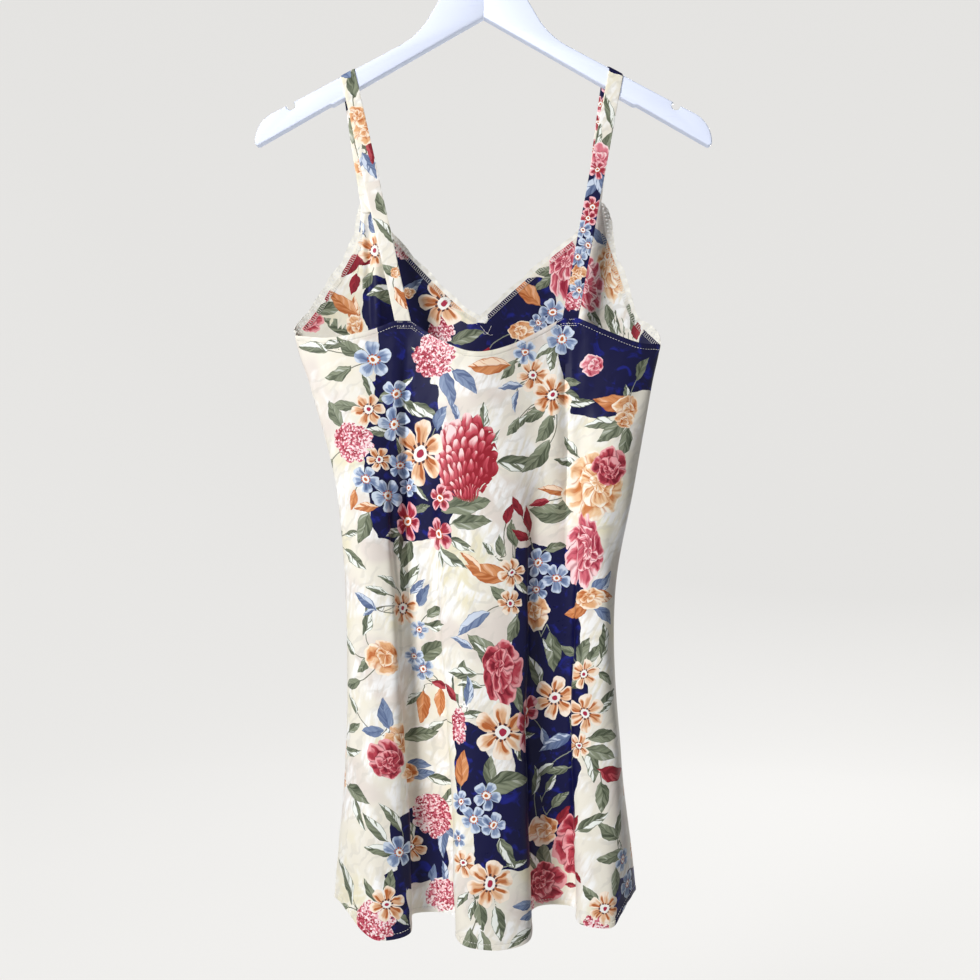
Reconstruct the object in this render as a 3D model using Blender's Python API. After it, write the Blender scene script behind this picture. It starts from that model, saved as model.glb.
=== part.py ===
"""Slip dress hung by its straps on a wooden hanger, as separate cut and sewn pieces.

The frame: origin at the seat of the hanger's hook, +Z up, -Y towards the dress's back,
+X towards the wearer's right. Sizes are in millimetres and are turned into metres when a
mesh is made. Heights on the dress are written as a drop below the hook's seat.
"""
import math

import bpy
import bmesh
from mathutils import Vector

MM = 0.001

# Cloth and trim
CLOTH_WALL = 1.2
LACE_WALL = 1.0
LACE_WIDTH = 6.5
LACE_END_WIDTH = 2.0
LACE_TAPER_SLOPE = 0.15
SEAM_GAP = 0.3

# Straps
STRAP_WIDTH = 15.0
STRAP_WALL = 1.5
STRAP_TAIL = 9.0
STRAP_BACK_TILT = 12.9
STRAP_FRONT_TILT = 8.5
STRAP_ON_FACE = 30.0
STRAP_WRAP_STEPS = 5
STRAP_RUN_STEPS = 6

# Hanger
ARM_WALL = 12.0
ARM_ROUNDING = 1.5
ARM_REACH = 221.8
HEAD_DROP = 72.0
CENTRE_DROP = 123.5
UPPER_DROP = 178.1
UPPER_AT = 131.5
UPPER_SLOPE = 0.535
LOWER_SLOPE = 0.571

# The head's top is flat, with a round shoulder and a straight flank on each side; the
# flank runs out into the arm along a hollow round.
SHOULDER_RADIUS = 26.0
SHOULDER_AT = 7.6
FLANK_ANGLE = 60.5
HOLLOW_CENTRE = (-116.0, -87.0)
HOLLOW_RADIUS = 73.0
# A round notch in each arm's upper edge keeps narrow straps from sliding off.
NOTCH_AT = 186.9
NOTCH_RADIUS = 4.2
NOTCH_SINK = 1.8
# Each arm ends in a large round above and a narrow nose below.
END_DROP = 245.0
END_RADIUS = 32.0
NOSE_RADIUS = 3.0
# A low block under each arm, where a cross bar could be fixed.
BLOCK_OUTER = 149.0
BLOCK_INNER = 126.0
BLOCK_DEPTH = 2.0
BLOCK_SLOPE = 3.0

WIRE_RADIUS = 1.9
HOOK_RADIUS = 19.9
SHANK_BEND = 12.0
SHANK_DEPTH = 14.0
HOOK_END_ANGLE = 195.0

# Each panel is a sheet hung between fold lines that run from its top edge to its hem.
# x is across, y is depth (back folds stand towards -Y, front folds towards +Y), and both
# are given at these levels, as drops; hem is the drop at which that line ends.
LEVELS = {"cup": 301.0, "edge": 433.0, "bust": 480.0, "waist": 573.0, "hip": 690.0,
          "thigh": 845.0, "hem": 1000.0}

# How far a fold's flank has turned towards square at each level: 0 is a gentle wave, 1 has
# its flank square to the wearer, and more overhangs the valley.
FOLD_TURN = {"cup": 0.0, "edge": 0.0, "bust": 0.0, "waist": 0.15, "hip": 0.6,
             "thigh": 0.95, "hem": 1.05}
# A fully turned fold's crest is this much wider than its valley, as a share of the pair.
CREST_GAIN = 0.08

SIDE_LEFT = {"name": "side_left", "hem": 979.0,
             "x": (-183.0, -183.0, -169.0, -144.6, -133.9, -133.9, -145.6),
             "y": (0.0, 0.0, 0.0, 0.0, 0.0, 0.0, 0.0)}
SIDE_RIGHT = {"name": "side_right", "hem": 972.0,
              "x": (173.0, 173.0, 164.0, 147.6, 127.1, 133.9, 149.5),
              "y": (0.0, 0.0, 0.0, 0.0, 0.0, 0.0, 0.0)}

BACK_FOLDS = [
    SIDE_LEFT,
    {"name": "crest_left", "hem": 1007.0,
     "x": (-128.0, -128.0, -123.0, -111.6, -101.5, -100.5, -98.0),
     "y": (-13.0, -13.0, -16.0, -20.0, -26.0, -34.0, -42.0)},
    {"name": "valley_left", "hem": 992.0,
     "x": (-75.7, -75.7, -75.7, -75.9, -72.1, -57.7, -48.6),
     "y": (-12.0, -12.0, -11.0, -7.5, -7.0, -5.0, -4.0)},
    {"name": "crest_middle", "hem": 1012.0,
     "x": (-3.2, -3.2, -3.2, -5.1, -1.3, 6.3, 8.5),
     "y": (-24.0, -24.0, -24.0, -26.0, -32.0, -44.0, -56.0)},
    {"name": "valley_right", "hem": 984.5,
     "x": (84.0, 84.0, 82.5, 80.9, 74.1, 66.0, 69.5),
     "y": (-12.0, -12.0, -11.0, -7.5, -7.0, -5.0, -4.0)},
    {"name": "crest_right", "hem": 996.0,
     "x": (124.2, 124.2, 121.5, 115.7, 109.4, 112.0, 118.0),
     "y": (-13.0, -13.0, -16.0, -20.0, -26.0, -33.0, -41.0)},
    SIDE_RIGHT,
]

FRONT_FOLDS = [
    SIDE_LEFT,
    {"name": "cup_left_outer", "hem": 990.0,
     "x": (-118.8, -118.8, -116.0, -111.0, -106.0, -105.0, -104.0),
     "y": (10.0, 16.0, 17.0, 20.0, 26.0, 33.0, 40.0)},
    {"name": "cup_left_inner", "hem": 990.0,
     "x": (-108.0, -108.0, -103.0, -96.0, -90.0, -88.0, -87.0),
     "y": (10.0, 17.0, 18.0, 21.0, 26.0, 33.0, 40.0)},
    {"name": "valley_left", "hem": 981.0,
     "x": (-60.0, -60.0, -57.0, -54.0, -50.0, -46.0, -43.0),
     "y": (15.0, 25.0, 21.0, 16.0, 12.0, 11.0, 10.0)},
    {"name": "crest_middle", "hem": 992.0,
     "x": (-3.0, -3.0, -1.0, 2.0, 4.0, 7.0, 9.0),
     "y": (18.0, 19.0, 20.0, 24.0, 32.0, 42.0, 50.0)},
    {"name": "valley_right", "hem": 978.0,
     "x": (58.0, 58.0, 57.0, 56.0, 56.0, 60.0, 62.0),
     "y": (15.0, 25.0, 21.0, 16.0, 12.0, 11.0, 10.0)},
    {"name": "cup_right_inner", "hem": 985.0,
     "x": (104.0, 104.0, 99.0, 94.0, 90.0, 95.0, 98.0),
     "y": (10.0, 17.0, 18.0, 21.0, 26.0, 33.0, 40.0)},
    {"name": "cup_right_outer", "hem": 985.0,
     "x": (115.3, 115.3, 112.0, 108.0, 103.0, 109.0, 114.0),
     "y": (10.0, 16.0, 17.0, 20.0, 26.0, 33.0, 40.0)},
    SIDE_RIGHT,
]

# The top edges, as runs between corners: each run is a smooth line through (x, drop).
BACK_EDGE = {
    "armhole_left": [(-183.0, 432.5), (-150.0, 435.5), (-112.0, 429.0), (-85.0, 419.0)],
    "strap_left": [(-85.0, 419.0), (-70.0, 419.0)],
    "neck": [(-70.0, 419.0), (-42.0, 438.0), (-9.0, 450.0), (26.0, 443.0), (76.5, 416.5)],
    "strap_right": [(76.5, 416.5), (91.5, 416.5)],
    "armhole_right": [(91.5, 416.5), (120.0, 429.0), (150.0, 440.0), (173.0, 441.0)],
}
FRONT_EDGE = {
    "armhole_left": [(-183.0, 432.5), (-161.5, 404.5), (-147.5, 381.5), (-133.5, 360.5),
                     (-122.0, 333.0), (-118.8, 301.0)],
    "strap_left": [(-118.8, 301.0), (-108.0, 301.0)],
    "neck_left": [(-108.0, 301.0), (-96.0, 327.0), (-52.5, 374.0), (-20.0, 405.0),
                  (-3.0, 416.0)],
    "neck_right": [(-3.0, 416.0), (28.0, 387.0), (63.5, 356.0), (96.0, 327.5),
                   (104.0, 301.0)],
    "strap_right": [(104.0, 301.0), (115.3, 301.0)],
    "armhole_right": [(115.3, 301.0), (120.0, 332.5), (130.8, 365.0), (142.5, 399.0),
                      (150.0, 416.0), (173.0, 441.0)],
}

# Columns of mesh between neighbouring fold lines, and rows from top edge to hem.
BACK_COLUMNS = (6, 6, 6, 6, 6, 6)
FRONT_COLUMNS = (7, 2, 5, 5, 5, 5, 2, 7)
PANEL_ROWS = 19
ROW_CROWDING = 1.25

# Where the straps cross the hanger and where they are sewn, for each side of the body.
STRAPS = {
    "left": {"side": -1, "arm_back_x": -131.5, "arm_front_x": -132.0,
             "back_x": -78.0, "back_drop": 419.0, "back_place": 2.0,
             "front_x": -113.4, "front_drop": 301.0, "front_place": 1.5},
    "right": {"side": 1, "arm_back_x": 128.5, "arm_front_x": 123.5,
              "back_x": 84.0, "back_drop": 416.5, "back_place": 4.0,
              "front_x": 108.0, "front_drop": 301.0, "front_place": 6.5},
}

CLOTH_SMOOTH_ANGLE = 50.0
WOOD_SMOOTH_ANGLE = 40.0

COLOURS = {
    "dress_cloth": (0.76, 0.72, 0.63),
    "front_cloth": (0.70, 0.67, 0.60),
    "lace": (0.86, 0.84, 0.77),
    "strap_cloth": (0.72, 0.66, 0.56),
    "painted_wood": (0.80, 0.84, 0.93),
    "hook_wire": (0.62, 0.63, 0.65),
}


LEVEL_DROPS = tuple(LEVELS.values())
LEVEL_TURNS = tuple(FOLD_TURN[name] for name in LEVELS)


def clear_scene():
    for item in list(bpy.data.objects):
        bpy.data.objects.remove(item, do_unlink=True)


def make_material(name, roughness, metallic=0.0):
    material = bpy.data.materials.new(name)
    material.use_nodes = True
    shader = material.node_tree.nodes["Principled BSDF"]
    shader.inputs["Base Color"].default_value = (*COLOURS[name], 1.0)
    shader.inputs["Roughness"].default_value = roughness
    shader.inputs["Metallic"].default_value = metallic
    return material


def curve_between(t, width, start, end, start_slope, end_slope):
    """Cubic between two values with set slopes at its ends; t runs from 0 to 1."""
    value = (1 + 2 * t) * (1 - t) ** 2 * start + t * (1 - t) ** 2 * width * start_slope
    return value + t * t * (3 - 2 * t) * end - t * t * (1 - t) * width * end_slope


def smooth(stations, values, at):
    """Value on a smooth curve through all the stations, level beyond both ends."""
    last = len(stations) - 1
    at = min(max(at, stations[0]), stations[last])
    k = 0
    while k < last - 1 and at > stations[k + 1]:
        k += 1

    def slope(i):
        if i in (0, last):
            return 0.0
        return (values[i + 1] - values[i - 1]) / (stations[i + 1] - stations[i - 1])

    width = stations[k + 1] - stations[k]
    t = (at - stations[k]) / width
    return curve_between(t, width, values[k], values[k + 1], slope(k), slope(k + 1))


def edge_drop(edge, x):
    """Drop of a panel's top edge at x, smooth inside each run and cornered between runs."""
    runs = list(edge.values())
    run = next((found for found in runs if x <= found[-1][0]), runs[-1])
    last = len(run) - 1
    k = 0
    while k < last - 1 and x > run[k + 1][0]:
        k += 1

    def slope(i):
        low = run[max(i - 1, 0)]
        high = run[min(i + 1, last)]
        return (high[1] - low[1]) / (high[0] - low[0])

    width = run[k + 1][0] - run[k][0]
    t = min(max((x - run[k][0]) / width, 0.0), 1.0)
    return curve_between(t, width, run[k][1], run[k + 1][1], slope(k), slope(k + 1))


class Panel:
    """A hung sheet of cloth between fold lines; place counts the lines from the left."""

    def __init__(self, folds, edge, outward):
        self.folds = folds
        self.edge = edge
        self.outward = outward

    def line(self, k, drop):
        fold = self.folds[k]
        return smooth(LEVEL_DROPS, fold["x"], drop), smooth(LEVEL_DROPS, fold["y"], drop)

    def section(self, place, drop):
        """x and y of the cloth's middle at one place across and one drop."""
        last = len(self.folds) - 2
        k = min(int(place), last)
        t = place - k
        x0, y0 = self.line(k, drop)
        x1, y1 = self.line(k + 1, drop)
        if k == 0:
            across = 1 - math.cos(math.pi * t / 2)
            depth = math.sin(math.pi * t / 2)
        elif k == last:
            across = math.sin(math.pi * t / 2)
            depth = 1 - math.cos(math.pi * t / 2)
        else:
            turn = smooth(LEVEL_DROPS, LEVEL_TURNS, drop)
            widen = CREST_GAIN * turn * (1 if abs(y0) > abs(y1) else -1)
            across = t + turn * math.sin(2 * math.pi * t) / (2 * math.pi)
            across += widen * math.sin(math.pi * t) ** 2
            depth = (1 - math.cos(math.pi * t)) / 2
        return x0 + (x1 - x0) * across, y0 + (y1 - y0) * depth

    def normal(self, place, drop):
        """Level unit direction out of the dress at one place; sideways at a side seam."""
        step = 0.01
        end = len(self.folds) - 1
        ax, ay = self.section(max(place - step, 0.0), drop)
        bx, by = self.section(min(place + step, end), drop)
        if place in (0, end):
            bx = ax
        length = math.hypot(bx - ax, by - ay)
        return (-(by - ay) / length * self.outward, (bx - ax) / length * self.outward)

    def top(self, place):
        x, _ = self.section(place, LEVELS["edge"])
        return edge_drop(self.edge, x)

    def hem(self, place):
        k = min(int(place), len(self.folds) - 2)
        ease = (1 - math.cos(math.pi * (place - k))) / 2
        return self.folds[k]["hem"] * (1 - ease) + self.folds[k + 1]["hem"] * ease

    def point(self, place, drop, offset):
        """A point offset out of the cloth's middle; seam edges stop half a gap short."""
        x, y = self.section(place, drop)
        nx, ny = self.normal(place, drop)
        if place in (0, len(self.folds) - 1):
            y = SEAM_GAP / 2 * self.outward
        return Vector((x + nx * offset, y + ny * offset, -drop))

    def places(self, columns):
        found = [0.0]
        for k, count in enumerate(columns):
            found.extend(k + (step + 1) / count for step in range(count))
        return found


BACK = Panel(BACK_FOLDS, BACK_EDGE, -1)
FRONT = Panel(FRONT_FOLDS, FRONT_EDGE, 1)


def finish_object(name, bm, material, smooth_angle):
    """Turn a bmesh in millimetres into one named object in metres."""
    bmesh.ops.scale(bm, vec=(MM, MM, MM), verts=bm.verts)
    bmesh.ops.recalc_face_normals(bm, faces=bm.faces)
    mesh = bpy.data.meshes.new(name)
    bm.to_mesh(mesh)
    bm.free()
    mesh.materials.append(material)
    mesh.shade_smooth()
    mesh.set_sharp_from_angle(angle=math.radians(smooth_angle))
    built = bpy.data.objects.new(name, mesh)
    bpy.context.collection.objects.link(built)
    return built


def close_wall(bm, front, back):
    """Faces between two matching grids of vertices, with the rim closed."""
    rows = len(front)
    columns = len(front[0])
    for i in range(rows - 1):
        for j in range(columns - 1):
            for grid in (front, back):
                bm.faces.new((grid[i][j], grid[i][j + 1], grid[i + 1][j + 1], grid[i + 1][j]))
    rim = [(0, j) for j in range(columns)]
    rim += [(i, columns - 1) for i in range(1, rows)]
    rim += [(rows - 1, j) for j in range(columns - 2, -1, -1)]
    rim += [(i, 0) for i in range(rows - 2, 0, -1)]
    for (i, j), (m, n) in zip(rim, rim[1:] + rim[:1]):
        bm.faces.new((front[i][j], front[m][n], back[m][n], back[i][j]))


def wall_object(name, outside, inside, material):
    """One closed wall from two grids of points."""
    bm = bmesh.new()
    outer = [[bm.verts.new(point) for point in row] for row in outside]
    inner = [[bm.verts.new(point) for point in row] for row in inside]
    close_wall(bm, outer, inner)
    return finish_object(name, bm, material, CLOTH_SMOOTH_ANGLE)


def build_panel(name, panel, columns, material):
    places = panel.places(columns)
    grids = {}
    for offset in (CLOTH_WALL / 2, -CLOTH_WALL / 2):
        rows = []
        for i in range(PANEL_ROWS + 1):
            share = (i / PANEL_ROWS) ** ROW_CROWDING
            drops = [panel.top(p) * (1 - share) + panel.hem(p) * share for p in places]
            rows.append([panel.point(p, drop, offset) for p, drop in zip(places, drops)])
        grids[offset] = rows
    return wall_object(name, *grids.values(), material)


def build_lace(name, first, last, material):
    """A flat trim that carries the front panel's surface on past its top edge."""
    places = [p for p in FRONT.places(FRONT_COLUMNS) if first <= p <= last]
    centre = len(FRONT_FOLDS) // 2
    edge = [FRONT.point(place, FRONT.top(place), 0.0) for place in places]
    strap_corner = min((edge[0], edge[-1]), key=lambda end: -end.z)
    grids = {LACE_WALL / 2: [], -LACE_WALL / 2: []}
    for k, point in enumerate(edge):
        along = edge[min(k + 1, len(edge) - 1)] - edge[max(k - 1, 0)]
        nx, ny = FRONT.normal(places[k], FRONT.top(places[k]))
        facing = Vector((nx, ny, 0.0))
        outward = along.cross(facing).normalized()
        from_strap = (point - strap_corner).length
        reach = min(LACE_END_WIDTH + from_strap * LACE_TAPER_SLOPE, LACE_WIDTH)
        start = point.copy()
        if places[k] == centre:
            # The two neck trims are mitred on the centre line.
            reach = LACE_WIDTH / outward.z
            start.x += SEAM_GAP / 2 * (1 if first == centre else -1)
            outward = Vector((0.0, 0.0, 1.0))
        for offset, rows in grids.items():
            middle = start + facing * offset
            rows.append([middle + outward * SEAM_GAP, middle + outward * reach])
    return wall_object(name, *grids.values(), material)


def arm_top(x):
    """Drop of the hanger arm's upper edge where the straps cross it."""
    return UPPER_DROP + UPPER_SLOPE * (abs(x) - UPPER_AT)


def strap_tail(panel, place, x, drop, lean):
    """Middle of a strap's sewn end inside a panel, from its tip up to the panel's edge."""
    inside = CLOTH_WALL / 2 + 1.5 * SEAM_GAP + STRAP_WALL / 2
    tail = []
    for hidden in (STRAP_TAIL, STRAP_TAIL / 2, 0.0):
        _, y = panel.section(place, drop + hidden)
        tail.append(Vector((x + lean * hidden, y - inside * panel.outward, -drop - hidden)))
    return tail


def strap_over_arm(back_x, front_x):
    """Middle of a strap up the arm's back face, over its rounded top and down its front."""
    face = ARM_WALL / 2 + SEAM_GAP + STRAP_WALL / 2
    wrap = ARM_ROUNDING + SEAM_GAP + STRAP_WALL / 2
    flat = ARM_WALL / 2 - ARM_ROUNDING
    rise_share = math.hypot(1.0, UPPER_SLOPE)
    points = []
    for corner, first in ((-flat, 180), (flat, 90)):
        for k in range(STRAP_WRAP_STEPS + 1):
            turn = math.radians(first - 90 * k / STRAP_WRAP_STEPS)
            y = corner + wrap * math.cos(turn)
            x = back_x + (front_x - back_x) * (y + face) / (2 * face)
            rise = (wrap * math.sin(turn) - ARM_ROUNDING) * rise_share
            points.append(Vector((x, y, rise - arm_top(x))))
    return points


def strap_fall(arm_x, y, end_x, end_drop):
    """Where a strap leaves the arm's face, and its sideways lean on the way down."""
    lean = (end_x - arm_x) / (end_drop - arm_top(arm_x))
    leave = Vector((arm_x + lean * STRAP_ON_FACE, y, -arm_top(arm_x) - STRAP_ON_FACE))
    return leave, lean


def strap_route(strap):
    """Middle line of a strap, back tail to front tail, with the tilt of its width."""
    over = strap_over_arm(strap["arm_back_x"], strap["arm_front_x"])
    back_leave, back_lean = strap_fall(strap["arm_back_x"], over[0].y, strap["back_x"],
                                       strap["back_drop"])
    front_leave, front_lean = strap_fall(strap["arm_front_x"], over[-1].y, strap["front_x"],
                                         strap["front_drop"])
    back = strap_tail(BACK, strap["back_place"], strap["back_x"], strap["back_drop"], back_lean)
    front = strap_tail(FRONT, strap["front_place"], strap["front_x"], strap["front_drop"],
                       front_lean)
    shares = [k / STRAP_RUN_STEPS for k in range(1, STRAP_RUN_STEPS)]
    back += [back[-1].lerp(back_leave, share) for share in shares] + [back_leave]
    front += [front[-1].lerp(front_leave, share) for share in shares] + [front_leave]
    arm_tilt = math.degrees(math.atan(UPPER_SLOPE))
    route = [(point, STRAP_BACK_TILT) for point in back]
    route += [(point, arm_tilt) for point in over]
    route += [(point, STRAP_FRONT_TILT) for point in reversed(front)]
    return route


def build_strap(name, strap, material):
    route = strap_route(strap)
    outside = []
    inside = []
    for k, (point, tilt) in enumerate(route):
        before = route[max(k - 1, 0)][0]
        after = route[min(k + 1, len(route) - 1)][0]
        along = (after - before).normalized()
        angle = math.radians(tilt)
        across = Vector((math.cos(angle), 0.0, -strap["side"] * math.sin(angle)))
        out = across.cross(along).normalized()
        half = across * STRAP_WIDTH / 2
        thick = out * STRAP_WALL / 2
        outside.append([point - half + thick, point + half + thick])
        inside.append([point - half - thick, point + half - thick])
    return wall_object(name, outside, inside, material)


def arc(centre, radius, start, end, count):
    """Points on an arc in the hanger's plane, angles in degrees from +X towards +Z."""
    points = []
    for k in range(count + 1):
        angle = math.radians(start + (end - start) * k / count)
        points.append((centre[0] + radius * math.cos(angle), centre[1] + radius * math.sin(angle)))
    return points


def arm_outline():
    """Outline of the left arm, anticlockwise from the top of its centre joint."""
    joint = -SEAM_GAP / 2
    lower_angle = math.degrees(math.atan(LOWER_SLOPE))
    upper_angle = math.degrees(math.atan(UPPER_SLOPE))

    def lower(x, depth=0.0):
        return (x, -CENTRE_DROP + LOWER_SLOPE * x - depth)

    notch = (-NOTCH_AT, -arm_top(NOTCH_AT) - NOTCH_SINK)
    end_centre = (END_RADIUS - ARM_REACH, -END_DROP)
    nose_centre = (NOSE_RADIUS - ARM_REACH, -END_DROP)
    outline = [(joint, -HEAD_DROP)]
    outline += arc((-SHOULDER_AT, -HEAD_DROP - SHOULDER_RADIUS), SHOULDER_RADIUS, 90,
                   90 + FLANK_ANGLE, 5)
    outline += arc(HOLLOW_CENTRE, HOLLOW_RADIUS, FLANK_ANGLE - 90, upper_angle - 90, 5)
    outline += arc(notch, NOTCH_RADIUS, upper_angle + 24, upper_angle - 204, 8)
    outline += arc(end_centre, END_RADIUS, 90 + upper_angle, 180, 6)[:-1]
    outline += arc(nose_centre, NOSE_RADIUS, 180, 270 + lower_angle, 4)
    outline += [lower(-BLOCK_OUTER), lower(BLOCK_SLOPE - BLOCK_OUTER, BLOCK_DEPTH),
                lower(-BLOCK_INNER - BLOCK_SLOPE, BLOCK_DEPTH), lower(-BLOCK_INNER)]
    outline.append(lower(joint))
    return outline


def build_arm(name, side, material):
    """One flat arm of the hanger, with its rim rounded and a hole for the hook's shank."""
    bm = bmesh.new()
    corners = [bm.verts.new((-side * x, -ARM_WALL / 2, z)) for x, z in arm_outline()]
    face = bm.faces.new(corners)
    grown = bmesh.ops.extrude_face_region(bm, geom=[face])
    moved = [item for item in grown["geom"] if isinstance(item, bmesh.types.BMVert)]
    bmesh.ops.translate(bm, vec=(0.0, ARM_WALL, 0.0), verts=moved)
    rim = []
    for edge in bm.edges:
        in_a_face = edge.verts[0].co.y == edge.verts[1].co.y
        at_joint = all(abs(vert.co.x) < SEAM_GAP for vert in edge.verts)
        if in_a_face and not at_joint:
            rim.append(edge)
    bmesh.ops.bevel(bm, geom=rim, offset=ARM_ROUNDING, segments=2, profile=0.5,
                    affect="EDGES", clamp_overlap=False)
    return finish_object(name, bm, material, WOOD_SMOOTH_ANGLE)


def cut_shank_hole(arms):
    """A round hole down the centre joint, half of it in each arm."""
    bm = bmesh.new()
    radius = (WIRE_RADIUS + SEAM_GAP) * MM
    bmesh.ops.create_cone(bm, cap_ends=True, segments=16, radius1=radius, radius2=radius,
                          depth=2 * SHANK_DEPTH * MM)
    bmesh.ops.translate(bm, vec=(0.0, 0.0, -HEAD_DROP * MM), verts=bm.verts)
    mesh = bpy.data.meshes.new("shank_cutter")
    bm.to_mesh(mesh)
    bm.free()
    cutter = bpy.data.objects.new("shank_cutter", mesh)
    bpy.context.collection.objects.link(cutter)
    cutter.hide_render = True
    cutter.display_type = "WIRE"
    for arm in arms:
        hole = arm.modifiers.new("shank_hole", "BOOLEAN")
        hole.operation = "DIFFERENCE"
        hole.object = cutter


def hook_route():
    """The wire's middle line: up out of the wood, out to one side and over the rod."""
    over_centre = (0.0, WIRE_RADIUS - HOOK_RADIUS)
    leave = math.degrees(math.acos(SHANK_BEND / (SHANK_BEND + HOOK_RADIUS)))
    height = over_centre[1] - (HOOK_RADIUS + SHANK_BEND) * math.sin(math.radians(leave))
    route = [(0.0, -HEAD_DROP - SHANK_DEPTH + SEAM_GAP)]
    route += arc((SHANK_BEND, height), SHANK_BEND, 180, 180 - leave, 5)
    route += arc(over_centre, HOOK_RADIUS, -leave, HOOK_END_ANGLE, 22)[1:]
    return route


def build_hook(material):
    curve = bpy.data.curves.new("hanger_hook", "CURVE")
    curve.dimensions = "3D"
    curve.bevel_depth = WIRE_RADIUS * MM
    curve.bevel_resolution = 2
    curve.use_fill_caps = True
    route = hook_route()
    spline = curve.splines.new("POLY")
    spline.points.add(len(route) - 1)
    for point, (x, z) in zip(spline.points, route):
        point.co = (x * MM, 0.0, z * MM, 1.0)
    spline.use_smooth = True
    curve.materials.append(material)
    hook = bpy.data.objects.new("hanger_hook", curve)
    bpy.context.collection.objects.link(hook)


def main():
    clear_scene()
    lace = make_material("lace", 0.75)
    strap_cloth = make_material("strap_cloth", 0.4)
    wood = make_material("painted_wood", 0.3)
    wire = make_material("hook_wire", 0.25, 1.0)

    build_panel("back_panel", BACK, BACK_COLUMNS, make_material("dress_cloth", 0.4))
    build_panel("front_panel", FRONT, FRONT_COLUMNS, make_material("front_cloth", 0.4))
    build_lace("armhole_lace_left", 0, 1, lace)
    build_lace("neck_lace_left", 2, 4, lace)
    build_lace("neck_lace_right", 4, 6, lace)
    build_lace("armhole_lace_right", 7, 8, lace)
    for side, strap in STRAPS.items():
        build_strap("strap_" + side, strap, strap_cloth)
    arms = [build_arm("hanger_arm_left", -1, wood), build_arm("hanger_arm_right", 1, wood)]
    cut_shank_hole(arms)
    build_hook(wire)


main()
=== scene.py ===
import math

import bpy
import numpy as np
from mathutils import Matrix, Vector


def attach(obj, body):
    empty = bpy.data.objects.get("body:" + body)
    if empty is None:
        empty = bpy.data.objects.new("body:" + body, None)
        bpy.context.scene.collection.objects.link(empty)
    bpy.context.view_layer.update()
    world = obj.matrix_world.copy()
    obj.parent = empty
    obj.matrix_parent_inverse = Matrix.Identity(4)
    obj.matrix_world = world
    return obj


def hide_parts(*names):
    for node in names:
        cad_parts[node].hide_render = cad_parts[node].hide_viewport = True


bl_info = {
    "name": "Slip dress on a hanger",
    "version": (1, 0, 0),
    "blender": (4, 5, 0),
    "location": "3D View > Sidebar > Slip dress",
    "description": "Printed satin slip dress with lace edges, hung on a painted wooden hanger",
    "category": "Object",
}

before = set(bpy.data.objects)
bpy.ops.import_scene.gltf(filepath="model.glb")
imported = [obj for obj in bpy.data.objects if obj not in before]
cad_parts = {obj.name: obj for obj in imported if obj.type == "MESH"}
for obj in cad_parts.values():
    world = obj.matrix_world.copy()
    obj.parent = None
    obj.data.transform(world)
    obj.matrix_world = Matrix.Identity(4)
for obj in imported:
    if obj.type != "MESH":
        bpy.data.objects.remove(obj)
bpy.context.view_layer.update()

# Everything below is in millimetres, on the frame's axes: -Y is the side of the dress's back,
# +X the wearer's right, and heights are drops below the hook's seat.
MM = 0.001
BODY = "root"

# ---------------------------------------------------------------------------------------
# The cut and the fall of the cloth: the fold lines of each panel, as the solids have them.
# ---------------------------------------------------------------------------------------
# The drops at which the fold lines are given, and how steep the folds' flanks are at each.
LEVEL_DROPS = (301.0, 433.0, 480.0, 573.0, 690.0, 845.0, 1000.0)
FOLD_TURNS = (0.0, 0.0, 0.08, 0.5, 0.92, 1.1, 1.2)
# How much wider a fold that stands out is than one that lies in.
CREST_GAIN = 0.08
# The drop at which a top edge's x is read, and the drops between which the round turn at a
# side seam opens out to the hem's corner.
EDGE_LEVEL = 433.0
CORNER_DROPS = (915.0, 972.0)

# Each fold line: its x at each level, its y at each level, and the drop of its hem.
SIDE_LEFT = ((-183.0, -183.0, -169.0, -144.6, -133.9, -133.9, -145.6), (0.0,) * 7, 979.0)
SIDE_RIGHT = ((173.0, 173.0, 164.0, 147.6, 127.1, 133.9, 149.5), (0.0,) * 7, 972.0)
BACK_FOLDS = (
    SIDE_LEFT,
    ((-128.0, -128.0, -123.0, -111.6, -101.5, -100.5, -98.0),
     (-13.0, -13.0, -16.0, -20.0, -26.0, -34.0, -42.0), 1007.0),
    ((-75.7, -75.7, -75.7, -75.9, -72.1, -57.7, -48.6),
     (-12.0, -12.0, -11.0, -7.5, -7.0, -5.0, -4.0), 992.0),
    ((-3.2, -3.2, -3.2, -5.1, -1.3, 6.3, 8.5),
     (-24.0, -24.0, -24.0, -26.0, -32.0, -44.0, -56.0), 1012.0),
    ((84.0, 84.0, 82.5, 80.9, 74.1, 66.0, 69.5),
     (-12.0, -12.0, -11.0, -7.5, -7.0, -5.0, -4.0), 984.5),
    ((124.2, 124.2, 121.5, 115.7, 109.4, 112.0, 118.0),
     (-13.0, -13.0, -16.0, -20.0, -26.0, -33.0, -41.0), 996.0),
    SIDE_RIGHT,
)
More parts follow.
